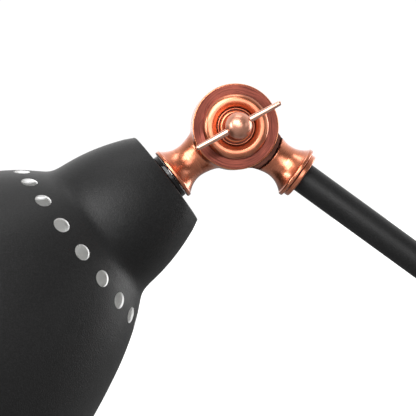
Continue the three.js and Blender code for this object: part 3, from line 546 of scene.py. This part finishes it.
def knuckle_half_surface():
    cell = 0.5
    v, q = surface_nets(half_distance, (-18.3, -12, -18.3), (33, 12, 18.3), cell)
    v, f = thinned(v, q, 0.5)
    for _ in range(3):
        v = v - np.clip(half_distance(v), -cell, cell)[:, None] * gradient(half_distance, v)
    n = gradient(half_distance, v)
    from_hinge = np.hypot(v[:, 0], v[:, 2])
    across = np.maximum(np.hypot(v[:, 1], v[:, 2]), 1e-6)
    about_hinge = np.stack([from_hinge + v[:, 1], v[:, 0] / from_hinge, v[:, 2] / from_hinge], 1)
    about_neck = np.stack([v[:, 0] - DISC_HALF, -v[:, 1] / across, v[:, 2] / across], 1)
    share = np.clip((from_hinge - DISC_RADIUS + 0.5) / 4, 0, 1)[:, None]
    turn = about_hinge * (1 - share) + about_neck * share
    return v, f, n, turn, knuckle_half_zones(v, f)


HALF = knuckle_half_surface()


def knuckle_half(node, matrix, body, rear=False):
    v, f, n, turn, zones = HALF
    if rear:
        flip = np.array([1, -1, 1])
        v, n, f = v * flip, n * flip, [face[::-1] for face in f]
    # Zone 1 takes the darker copy (painted shade with a painted edge highlight), zone 2 painted shade in the
    # relief and split.
    looks = [COPPER, COPPER_PAINTED_SHADE_LIT_EDGE, COPPER_RECESS_PAINTED_SHADE]
    obj = finish_mesh(node + "_look", v, f, matrix, body, node, looks, turn, normals=n)
    obj.data.polygons.foreach_set("material_index", zones)
    return obj


# ---- Knuckle trim --------------------------------------------------------------------------------
def cover_profile():
    """A dished cover: a broad raised ring that falls into a recess with a fine bead at its foot."""
    outer_span, inner_span = COVER_RADIUS - CROWN_RADIUS, CROWN_RADIUS - RECESS_RADIUS
    top = [(COVER_RADIUS, 0.5)]
    for a in np.linspace(8, 90, 14):
        t = math.radians(a)
        top.append((CROWN_RADIUS + outer_span * math.cos(t) ** 0.9,
                    0.6 + (COVER_HEIGHT - 0.6) * math.sin(t) ** 0.8))
    for a in np.linspace(80, 6, 12):
        t = math.radians(a)
        top.append((CROWN_RADIUS - inner_span * math.cos(t), 1.6 + (COVER_HEIGHT - 1.6) * math.sin(t)))
    bead = arc(RECESS_RADIUS - 0.55, 1.55, 0.35, 20, 180, 6)
    return [(3.3, 0.0), (COVER_RADIUS, 0.0), *top, (RECESS_RADIUS, 1.45), *bead,
            (RECESS_RADIUS - 0.9, COVER_FLOOR), (3.3, COVER_FLOOR)]


def thumb_screw(body, hinge, direction):
    seat = DISC_HALF + GAP + COVER_FLOOR
    collar = seat + GAP
    ball = DISC_HALF + BALL_STANDOFF
    meet = math.degrees(math.asin(2.9 / BALL_RADIUS))
    tip = -(seat + GAP + NUT_HEIGHT)
    profile = [(0, tip), (3, tip), (3, collar), (6.4, collar)]
    profile += rounded([
        (6.4, collar), (6.4, collar + 1.3, 0.4), (5.6, collar + 1.9, 0.5), (4.4, collar + 1.5, 0.8),
        (3.3, collar + 2.2, 0.8), (2.75, collar + 4.2, 1.0), (2.9, ball - BALL_RADIUS * 0.84),
    ], 4)[1:]
    profile += arc(0, ball, BALL_RADIUS, meet - 90, 90, 22)[:-1] + [(0, ball + BALL_RADIUS)]
    node = f"{body.split('_')[0]}_knuckle_thumb_screw"
    looks = [COPPER_PAINTED_SHADE_LIT_EDGE, COPPER_PAINTED_LIT_BALL]
    obj = lathe(node + "_look", profile, at_hinge(hinge) @ FACING_FRONT, body, node, looks, 72, 34)
    # Painted highlight on the ball, which takes the lighter copy; the collar, neck and shank take the darker
    # copy as painted shade.
    front = -(ball - BALL_RADIUS * 0.9) * MM
    obj.data.polygons.foreach_set("material_index", [int(p.center.y < front) for p in obj.data.polygons])
    bar_node = node.replace("screw", "bar")
    half = BAR_LENGTH / 2
    tips = arc(0, half - BAR_TIP_RADIUS, BAR_TIP_RADIUS, 0, 90, 6)
    bar = [(0, -half)] + [(r, -h) for r, h in tips[::-1]][1:]
    bar += [(BAR_RADIUS, -BALL_RADIUS), (BAR_RADIUS, BALL_RADIUS)] + tips[:-1] + [(0, half)]
    lean = Matrix.Rotation(-math.radians(direction), 4, "Y")
    place = at_hinge(hinge) @ Matrix.Translation((0, -ball, 0)) @ lean
    lathe(bar_node + "_look", bar, place @ ALONG_X, body, bar_node, COPPER_PAINTED_LIT_BAR, 32, 40)


def dome_nut(node, hinge, body):
    seat = DISC_HALF + 2 * GAP + COVER_FLOOR
    corner = NUT_FLAT / math.cos(math.radians(30))
    top = seat + NUT_HEIGHT
    outline = [(0.0, seat), (corner, seat), (corner, top - 0.5), (NUT_FLAT + 0.2, top), (0.0, top)]
    v, f, t = lathe_mesh(outline, 6)
    dome = [(0, seat + 1), (NUT_DOME, seat + 1)] + arc(0, top - 0.05, NUT_DOME, 0, 90, 14)[:-1]
    dome += [(0, top - 0.05 + NUT_DOME)]
    v2, f2, t2 = lathe_mesh(dome, 48)
    shift = len(v)
    faces = f + [[i + shift for i in q] for q in f2]
    finish_mesh(node + "_look", v + v2, faces, at_hinge(hinge) @ FACING_REAR, body, node, COPPER,
                t + t2, 34)


def cover(node, hinge, body, side):
    facing = FACING_FRONT if side < 0 else FACING_REAR
    place = at_hinge(hinge) @ facing @ Matrix.Translation((0, 0, DISC_HALF + GAP))
    obj = lathe(node + "_look", cover_profile(), place, body, node, [COPPER, COPPER_RECESS_PAINTED_SHADE], 112, 40)
    middle = Vector((hinge[0], 0, hinge[1])) * MM
    # Painted shade: the recess floor and the foot of its wall take the dark copy; the bead keeps the plain
    # copper.
    for p in obj.data.polygons:
        away = p.center - middle
        radius, height = math.hypot(away.x, away.z) / MM, abs(away.y) / MM - DISC_HALF - GAP
        bead = abs(radius - RECESS_RADIUS + 0.5) < 0.4 and height > COVER_FLOOR + 0.1
        p.material_index = int(radius < RECESS_RADIUS + 0.3 and height < 2.4 and not bead)


def friction_ring(node, hinge, body):
    lathe(node + "_look", ring_profile(DISC_RADIUS - 0.3, DISC_RADIUS - 2.5, -0.4, 0.4, 0.1),
          at_hinge(hinge) @ FACING_FRONT, body, node, FIBRE, 96)


def collar(node, hinge, direction, body, bore, material, slot):
    start = NECK_LENGTH + GAP
    end = start + COLLAR_THICKNESS
    profile = rounded([(bore, start + 1), (bore, start), (COLLAR_RADIUS, start, 0.3), (COLLAR_RADIUS, end, 0.7),
                       (bore + 1.2, end, 0.4), (bore, end - 0.5), (bore, start + 1.001)], 5)
    lathe(node + "_look", profile, at_hinge(hinge, direction) @ ALONG_X, body, node, material, 96)


KNUCKLES = {"base": (BASE_HINGE, 270.0, "base", LOWER_ARM, "lower_arm"),
            "elbow": (ELBOW_HINGE, LOWER_ARM + 180, "lower_arm", UPPER_ARM, "upper_arm"),
            "head": (HEAD_HINGE, UPPER_ARM + 180, "upper_arm", SHADE, "head")}
for place, (hinge, rear_direction, rear_body, front_direction, front_body) in KNUCKLES.items():
    knuckle_half(f"{place}_knuckle_rear_half", at_hinge(hinge, rear_direction), rear_body, rear=True)
    knuckle_half(f"{place}_knuckle_front_half", at_hinge(hinge, front_direction), front_body)
    cover(f"{place}_knuckle_rear_cover", hinge, rear_body, 1)
    cover(f"{place}_knuckle_front_cover", hinge, front_body, -1)
    friction_ring(f"{place}_knuckle_friction_ring", hinge, rear_body)
    dome_nut(f"{place}_knuckle_dome_nut", hinge, rear_body)
    thumb_screw(f"{place}_screw", hinge, BAR_DIRECTIONS[place])

collar("base_collar", BASE_HINGE, 270, "base", STEM_BORE, COPPER, "copper")
collar("lower_arm_lower_collar", BASE_HINGE, LOWER_ARM, "lower_arm", COLLAR_TUBE_BORE, COPPER, "copper")
collar("lower_arm_upper_collar", ELBOW_HINGE, LOWER_ARM + 180, "lower_arm", COLLAR_TUBE_BORE, COPPER, "copper")
collar("upper_arm_lower_collar", ELBOW_HINGE, UPPER_ARM, "upper_arm", COLLAR_TUBE_BORE, COPPER, "copper")
collar("upper_arm_upper_collar", HEAD_HINGE, UPPER_ARM + 180, "upper_arm", COLLAR_TUBE_BORE, COPPER, "copper")
collar("shade_collar", HEAD_HINGE, SHADE, "head", STEM_BORE, BLACK_GLOSS, "dark_copper")

for arm, hinge, direction in (("lower_arm", BASE_HINGE, LOWER_ARM), ("upper_arm", ELBOW_HINGE, UPPER_ARM)):
    end = SOCKET_AT + GAP
    profile = ring_profile(TUBE_RADIUS, TUBE_RADIUS - TUBE_WALL, end, ARM_LENGTH - end, 0.2)
    lathe(arm + "_tube_look", profile, at_hinge(hinge, direction) @ ALONG_X, arm, arm + "_tube", BLACK,
          64)


# ---- Shade ---------------------------------------------------------------------------------------
def shade_outline():
    corner = arc(SHADE_TOP_RADIUS - SHADE_CORNER, SHADE_CORNER, SHADE_CORNER, -90, -25, 6)
    face = smooth_curve([(r, d) for d, r in SHADE_FACE], 5)
    return corner + face


def shade_mesh():
    """The spun shell with its vent holes: an outer and an inner sheet, joined at every edge."""
    outline = np.array(shade_outline())
    steps = np.hypot(*np.diff(outline, axis=0).T)
    length = np.concatenate([[0], np.cumsum(steps)])
    tangent = np.gradient(outline, length, axis=0)
    tangent /= np.linalg.norm(tangent, axis=1)[:, None]

    def face_point(v, u, depth):
        r, d = np.interp(v, length, outline[:, 0]), np.interp(v, length, outline[:, 1])
        tr, td = np.interp(v, length, tangent[:, 0]), np.interp(v, length, tangent[:, 1])
        r, d = r - depth * td, d + depth * tr
        return r * np.cos(u), r * np.sin(u), d

    hole_v = float(np.interp(HOLE_AT, outline[:, 1], length))
    patch = 4.6
    rows_top = np.concatenate([length[length < hole_v - patch - 0.6], [hole_v - patch]])
    rows_low = np.concatenate([[hole_v + patch], length[length > hole_v + patch + 0.6]])
    columns = 8
    sides = HOLE_COUNT * columns
    first = math.radians(-90 - HOLE_FIRST)
    angle = [first + (k / columns - 0.5) * 2 * math.pi / HOLE_COUNT for k in range(sides)]
    vertices, faces = [], []

    def sheet(depth):
        start = len(vertices)
        ids = {}

        def vertex(key, v, u):
            if key not in ids:
                ids[key] = len(vertices)
                vertices.append(face_point(v, u, depth))
            return ids[key]

        quads, rims = [], []
        for tag, rows in (("t", rows_top), ("l", rows_low)):
            for i in range(len(rows) - 1):
                for k in range(sides):
                    n = (k + 1) % sides
                    quads.append([vertex((tag, i, k), rows[i], angle[k]),
                                  vertex((tag, i, n), rows[i], angle[n]),
                                  vertex((tag, i + 1, n), rows[i + 1], angle[n]),
                                  vertex((tag, i + 1, k), rows[i + 1], angle[k])])
        last = len(rows_top) - 1
        edge_rows = 8
        for h in range(HOLE_COUNT):
            centre = first + h * 2 * math.pi / HOLE_COUNT
            border = []
            for c in range(columns):
                border.append(("t", last, (h * columns + c) % sides, hole_v - patch, h * columns + c))
            for r in range(edge_rows):
                border.append(("side", (h + 1) % HOLE_COUNT, r, hole_v - patch + 2 * patch * r / edge_rows,
                               (h + 1) * columns))
            for c in range(columns):
                border.append(("l", 0, ((h + 1) * columns - c) % sides, hole_v + patch,
                               (h + 1) * columns - c))
            for r in range(edge_rows):
                border.append(("side", h, edge_rows - r, hole_v + patch - 2 * patch * r / edge_rows,
                               h * columns))
            points = []
            for tag, a, b, v, k in border:
                if tag == "side" and b == 0:
                    tag, a, b = "t", last, k % sides
                elif tag == "side" and b == edge_rows:
                    tag, a, b = "l", 0, k % sides
                u = first + (k / columns - 0.5) * 2 * math.pi / HOLE_COUNT
                points.append((vertex((tag, a, b), v, u), v, u))
            count = len(points)
            previous = [p[0] for p in points]
            radius_here = float(np.interp(hole_v, length, outline[:, 0]))
            rings = 4
            for step in range(1, rings + 1):
                t = step / rings
                current = []
                for j, (_, v, u) in enumerate(points):
                    du, dv = (u - centre) * radius_here, v - hole_v
                    a = math.atan2(du, dv)
                    hv = hole_v + HOLE_RADIUS * math.cos(a)
                    hu = centre + HOLE_RADIUS * math.sin(a) / radius_here
                    current.append(vertex(("h", h, step, j), v + (hv - v) * t, u + (hu - u) * t))
                for j in range(count):
                    n = (j + 1) % count
                    quads.append([previous[j], previous[n], current[n], current[j]])
                previous = current
            rims.append(previous)
        top = [ids[("t", 0, k)] for k in range(sides)]
        low = [ids[("l", len(rows_low) - 1, k)] for k in range(sides)]
        return quads, rims, top, low

    outer, outer_rims, outer_top, outer_low = sheet(0.0)
    inner, inner_rims, inner_top, inner_low = sheet(SHADE_WALL)
    faces += [q[::-1] for q in outer] + inner
    inner_flags = [0] * len(outer) + [1] * len(inner)
    for a, b in zip(outer_rims, inner_rims):
        for j in range(len(a)):
            n = (j + 1) % len(a)
            faces.append([a[j], a[n], b[n], b[j]][::-1])
            inner_flags.append(1)

    def circle(radius, depth):
        start = len(vertices)
        vertices.extend((radius * math.cos(a), radius * math.sin(a), depth) for a in angle)
        return list(range(start, start + sides))

    def band(a, b, flag):
        for k in range(sides):
            n = (k + 1) % sides
            faces.append([a[k], a[n], b[n], b[k]])
            inner_flags.append(flag)

    # the flat top with its bore, and the rolled rim
    top_ring, under_ring = circle(STEM_BORE, 0.0), circle(STEM_BORE, SHADE_WALL)
    band(outer_top, top_ring, 0)
    band(top_ring, under_ring, 0)
    band(under_ring, inner_top, 1)
    rim_r, rim_d = outline[-1]
    previous = outer_low
    for r, d in arc(rim_r - SHADE_WALL / 2, rim_d, RIM_BEAD_RADIUS, -35, 215, 14):
        ring = circle(r, d)
        band(previous, ring, 0)
        previous = ring
    band(previous, inner_low, 0)
    placed = [(x, y, z + SHADE_AT) for x, y, z in vertices]
    return placed, faces, inner_flags


def build_shade():
    vertices, faces, flags = shade_mesh()
    place = at_hinge(HEAD_HINGE, SHADE) @ ALONG_X
    turn = [(z, x / math.hypot(x, y), y / math.hypot(x, y)) for x, y, z in vertices]
    obj = finish_mesh("shade_look", vertices, faces, place, "head", "shade", [BLACK, WHITE],
                      turn, 38)
    obj.data.polygons.foreach_set("material_index", np.array(flags, np.int32))


build_shade()

# ---- Lampholder and bulb -------------------------------------------------------------------------
HEAD_AXIS = at_hinge(HEAD_HINGE, SHADE) @ ALONG_X
CAP_FROM = SHADE_AT + SHADE_WALL + GAP + NUT_AND_WASHER + GAP
CAP_TO = CAP_FROM + HOLDER_CAP_LENGTH
BODY_FROM = CAP_TO + GAP
BODY_TO = BODY_FROM + HOLDER_BODY_LENGTH
holder = rounded([
    (STEM_BORE, CAP_FROM + 0.5), (STEM_BORE, CAP_FROM), (9, CAP_FROM, 0.8), (12.5, CAP_FROM + 1.2, 1.5),
    (17.2, CAP_FROM + 4.2, 2.5), (HOLDER_RADIUS, CAP_FROM + 9, 2), (HOLDER_RADIUS, CAP_TO, 0.4),
    (HOLDER_RADIUS - 2, CAP_TO), (HOLDER_RADIUS - 2, CAP_FROM + 8), (9, CAP_FROM + 2),
    (STEM_BORE, CAP_FROM + 2), (STEM_BORE, CAP_FROM + 0.51),
], 5)
lathe("holder_cap_look", holder, HEAD_AXIS, "head", "holder_cap", CERAMIC_LOOK, 72)
holder_body = rounded([
    (14.5, BODY_FROM + 1), (14.5, BODY_FROM), (HOLDER_RADIUS, BODY_FROM, 0.2),
    (HOLDER_RADIUS, BODY_TO - 4, 0.3), (18.2, BODY_TO - 3.4, 0.3), (18.2, BODY_TO, 0.6),
    (14.5, BODY_TO, 0.4), (14.5, BODY_FROM + 1.01),
], 4)
lathe("holder_body_look", holder_body, HEAD_AXIS, "head", "holder_body", CERAMIC_LOOK, 72)
lathe("holder_shell_look", ring_profile(14.15, 13.4, BODY_FROM, BODY_FROM + SHELL_LENGTH, 0.2), HEAD_AXIS,
      "head", "holder_shell", BRASS_LOOK, 64)
BULB_FROM = CAP_TO - 0.5 + 1.6 + 2 * GAP
CAP_END = BULB_FROM + BULB_CAP_LENGTH
cap = [(0, BULB_FROM), (4.6, BULB_FROM + 0.2), (5.2, BULB_FROM + 1.0), (9.5, BULB_FROM + 2.6)]
thread_at = BULB_FROM + 5
while thread_at < CAP_END - 4:
    cap += [(12.2, thread_at - 0.9), (12.9, thread_at - 0.3), (13.1, thread_at + 0.4),
            (12.9, thread_at + 1.1), (12.2, thread_at + 1.7)]
    thread_at += THREAD_PITCH
cap += [(12.8, CAP_END - 2.2), (12.8, CAP_END), (11.6, CAP_END), (11.4, BULB_FROM + 6),
        (0, BULB_FROM + 3.2)]
lathe("bulb_cap_look", cap, HEAD_AXIS, "head", "bulb_cap", BRASS_LOOK, 64, 50)
BULB_CENTRE = BULB_FROM + BULB_LENGTH - BULB_RADIUS
GLASS_INNER = BULB_RADIUS - GLASS_WALL
throat = smooth_curve([(12.6, CAP_END + GAP), (12.9, CAP_END + 3), (14.2, CAP_END + 8),
                       (16.6, CAP_END + 12.5)], 4)
ball_outer = arc(0, BULB_CENTRE, BULB_RADIUS, -36, 90, 26)
glass = [p for p in throat if p[1] < ball_outer[0][1] - 1.5] + ball_outer[:-1]
glass += [(0, BULB_CENTRE + BULB_RADIUS), (0, BULB_CENTRE + GLASS_INNER)]
glass += arc(0, BULB_CENTRE, GLASS_INNER, 90, -36, 20)[1:] + [(11.6, CAP_END + 3), (11.4, CAP_END + GAP)]
lathe("bulb_glass_look", glass, HEAD_AXIS, "head", "bulb_glass", OPAL_LOOK, 72, 60)


# ---- Base ----------------------------------------------------------------------------------------
def slope_height(radius):
    outer, inner = BASE_RADIUS - BASE_SHOULDER, BOSS_RADIUS + BOSS_FILLET
    return BASE_SIDE + BASE_SHOULDER + BASE_SLOPE * (outer - radius) / (outer - inner)


BOTTOM = PAD_THICKNESS + GAP
foot = BOSS_RADIUS + BOSS_FILLET
shoulder = arc(BASE_RADIUS - BASE_SHOULDER, BASE_SIDE, BASE_SHOULDER, 86, 0, 8)
boss = smooth_curve([(BOSS_RADIUS - 1.6, COVER_TOP - 0.35), (BOSS_RADIUS + 0.6, COVER_TOP - 1.6),
                     (BOSS_RADIUS + 3, COVER_TOP - 2.7), (foot + 2, slope_height(foot + 2))], 5)
outline = [
    (STEM_BORE, COVER_TOP - 0.7), (STEM_BORE, COVER_TOP), (BOSS_RADIUS - 3, COVER_TOP), *boss, *shoulder,
    (BASE_RADIUS, BOTTOM + 0.4), (BASE_RADIUS - 0.4, BOTTOM), (BASE_RADIUS - BASE_WALL, BOTTOM),
    (BASE_RADIUS - BASE_WALL, BASE_SIDE),
    (BASE_RADIUS - BASE_SHOULDER, BASE_SIDE + BASE_SHOULDER - BASE_WALL),
    (foot, slope_height(foot) - BASE_WALL), (BOSS_RADIUS - 1, COVER_TOP - BASE_WALL),
    (STEM_BORE, COVER_TOP - BASE_WALL),
]
GLAND_HEIGHT = BOTTOM + GLAND_RADIUS + 0.4
cover_obj = lathe("base_cover_look", outline, UPRIGHT, "base", "base_cover", BLACK, 160, 24)


def pierce(obj, radius, matrix, depth):
    """Cuts a round hole along the matrix's +Z through a piece, for good."""
    v, f, _ = lathe_mesh([(0, 0), (radius, 0), (radius, depth), (0, depth)], 48)
    mesh = bpy.data.meshes.new("drill")
    mesh.from_pydata([((matrix @ Vector(p)) * MM)[:] for p in v], [], f)
    tool = bpy.data.objects.new("drill", mesh)
    bpy.context.collection.objects.link(tool)
    modifier = obj.modifiers.new("hole", "BOOLEAN")
    modifier.object, modifier.operation, modifier.solver = tool, "DIFFERENCE", "EXACT"
    cut = bpy.data.meshes.new_from_object(obj.evaluated_get(bpy.context.evaluated_depsgraph_get()))
    obj.modifiers.clear()
    obj.data = cut
    bpy.data.objects.remove(tool)


pierce(cover_obj, GLAND_HOLE_RADIUS, Matrix.Translation((BASE_RADIUS - 8, 0, GLAND_HEIGHT)) @ ALONG_X, 20)
pierce(cover_obj, SWITCH_HOLE_RADIUS, Matrix.Translation((-SWITCH_AT, 0, 10)), 30)
PAD_RADIUS = BASE_RADIUS - PAD_INSET
pad = rounded([(0, 0), (PAD_RADIUS, 0, 0.3), (PAD_RADIUS, PAD_THICKNESS, 0.3), (0, PAD_THICKNESS)], 2)
lathe("base_pad_look", pad, UPRIGHT, "base", "base_pad", FOAM, 128)

gland_end, gland_seat = BASE_RADIUS + GLAND_REACH, BASE_RADIUS + GAP
gland = [(GLAND_BORE, gland_end - 9), (5.2, gland_end - 9), (5.2, gland_seat), (GLAND_RADIUS, gland_seat)]
gland += rounded([(GLAND_RADIUS, gland_seat), (GLAND_RADIUS, gland_end, 1.1), (3.9, gland_end, 0.8),
                  (GLAND_BORE, gland_end - 1.5)], 5)[1:]
lathe("cord_gland_look", gland, Matrix.Translation((0, 0, GLAND_HEIGHT)) @ ALONG_X, "base", "cord_gland",
      PLASTIC, 48)

SWITCH = Matrix.Translation((-SWITCH_AT, 0, slope_height(SWITCH_AT)))
bezel = rounded([
    (5.9, 1.5), (5.9, 0.7), (BEZEL_RADIUS, 0.7), (BEZEL_RADIUS, 2.0, 0.8), (8.3, 2.9, 0.7),
    (6.5, 2.9, 0.4), (5.9, 2.4, 0.2), (5.9, 1.51),
], 5)
lathe("switch_bezel_look", bezel, SWITCH, "base", "switch_bezel", COPPER, 72)
top = 0.7 + 2.2 + 2.5 + 0.6
button = rounded([
    (0, top - 6), (BUTTON_RADIUS, top - 6, 0.3), (BUTTON_RADIUS, top - 0.6, 1.0),
    (4.2, top + 0.05, 1.2), (2.2, top + 0.25, 1.0), (0, top + 0.3),
], 5)
lathe("switch_button_look", button, SWITCH, "switch_button", "switch_button", COPPER, 64)

# ---- CAD nodes that stay -------------------------------------------------------------------------
KEPT = {
    "base_weight": IRON_LOOK, "base_stem": STEEL_LOOK, "base_washer": STEEL_LOOK, "base_nut": STEEL_LOOK,
    "switch_body": PLASTIC, "switch_spring": STEEL_LOOK, "shade_locknut": STEEL_LOOK,
    "shade_nipple": STEEL_LOOK, "holder_insert": CERAMIC_LOOK, "holder_contact": BRASS_LOOK,
    "supply_lead": LEAD_LOOK, "stem_lead": LEAD_LOOK, "lower_arm_lead": LEAD_LOOK,
    "upper_arm_lead": LEAD_LOOK, "head_lead": LEAD_LOOK,
}
for node, material in KEPT.items():
    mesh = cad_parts[node].data
    mesh.materials.clear()
    mesh.materials.append(material)

# ---- Floor, world and lights ---------------------------------------------------------------------
floor_mesh = bpy.data.meshes.new("floor")
reach = 30.0
floor_mesh.from_pydata([(-reach, -reach, 0), (reach, -reach, 0), (reach, reach, 0), (-reach, reach, 0)],
                       [], [[0, 1, 2, 3]])
FLOOR = Nodes("pale_floor")
speck = FLOOR.noise(FLOOR.place((0.02, 0.02, 0.02)), 1.0, 2.0)
seen_directly = FLOOR.node("ShaderNodeLightPath").outputs["Is Camera Ray"]
pale = FLOOR.ramp(speck, (0.8, 0.8, 0.8), (0.82, 0.82, 0.82))
FLOOR.done(FLOOR.mix(seen_directly, (0.2, 0.2, 0.2), pale), FLOOR.ramp(speck, 0.7, 0.8))
FLOOR.link(FLOOR.ramp(seen_directly, 0.0, 0.74, 0.0, 1.0), FLOOR.shader.inputs["Emission Strength"])
FLOOR.set(Emission_Color=(1, 1, 1, 1))
floor_mesh.materials.append(FLOOR.material)
floor = bpy.data.objects.new("floor", floor_mesh)
bpy.context.collection.objects.link(floor)

world = bpy.data.worlds.new("studio")
bpy.context.scene.world = world
world.use_nodes = True
nodes, links = world.node_tree.nodes, world.node_tree.links
background = nodes["Background"]
seen = nodes.new("ShaderNodeBackground")
seen.inputs["Color"].default_value = (1, 1, 1, 1)
seen.inputs["Strength"].default_value = 1.05
background.inputs["Color"].default_value = (1, 1, 1, 1)
direction = nodes.new("ShaderNodeTexCoord")
toward = nodes.new("ShaderNodeVectorMath")
toward.operation = "DOT_PRODUCT"
toward.inputs[1].default_value = Vector((0.2, 0.95, 0.15)).normalized()
links.new(direction.outputs["Generated"], toward.inputs[0])
dome = nodes.new("ShaderNodeMapRange")
for key, v in (("From Min", -0.4), ("From Max", 0.9), ("To Min", 0.14), ("To Max", 1.3)):
    dome.inputs[key].default_value = v
links.new(toward.outputs["Value"], dome.inputs["Value"])
links.new(dome.outputs["Result"], background.inputs["Strength"])
path = nodes.new("ShaderNodeLightPath")
mixer = nodes.new("ShaderNodeMixShader")
links.new(path.outputs["Is Camera Ray"], mixer.inputs[0])
links.new(background.outputs[0], mixer.inputs[1])
links.new(seen.outputs[0], mixer.inputs[2])
links.new(mixer.outputs[0], nodes["World Output"].inputs["Surface"])


def softbox(name, place, aim, size, power):
    data = bpy.data.lights.new(name, "AREA")
    data.shape, data.size, data.size_y, data.energy = "RECTANGLE", size[0], size[1], power
    obj = bpy.data.objects.new(name, data)
    bpy.context.collection.objects.link(obj)
    place, aim = Vector(place), Vector(aim)
    obj.matrix_world = Matrix.Translation(place) @ (aim - place).to_track_quat("-Z", "Y").to_matrix().to_4x4()


AIM = (-0.1, 0.0, 0.43)
softbox("key", (-0.7, -1.2, 1.15), AIM, (1.3, 1.0), 28)
softbox("front", (-0.15, -2.6, 0.7), AIM, (2.2, 1.4), 26)
softbox("left", (-1.6, -0.5, 0.55), AIM, (0.35, 0.7), 9)
softbox("top", (-0.15, -0.1, 1.9), AIM, (0.8, 0.4), 4)
softbox("right", (1.4, -0.8, 0.5), AIM, (0.4, 0.9), 1.5)
softbox("rim", (1.5, 0.85, 0.6), AIM, (0.6, 1.2), 12)

bpy.context.scene.view_settings.view_transform = "Standard"
bpy.context.scene.view_settings.look = "None"
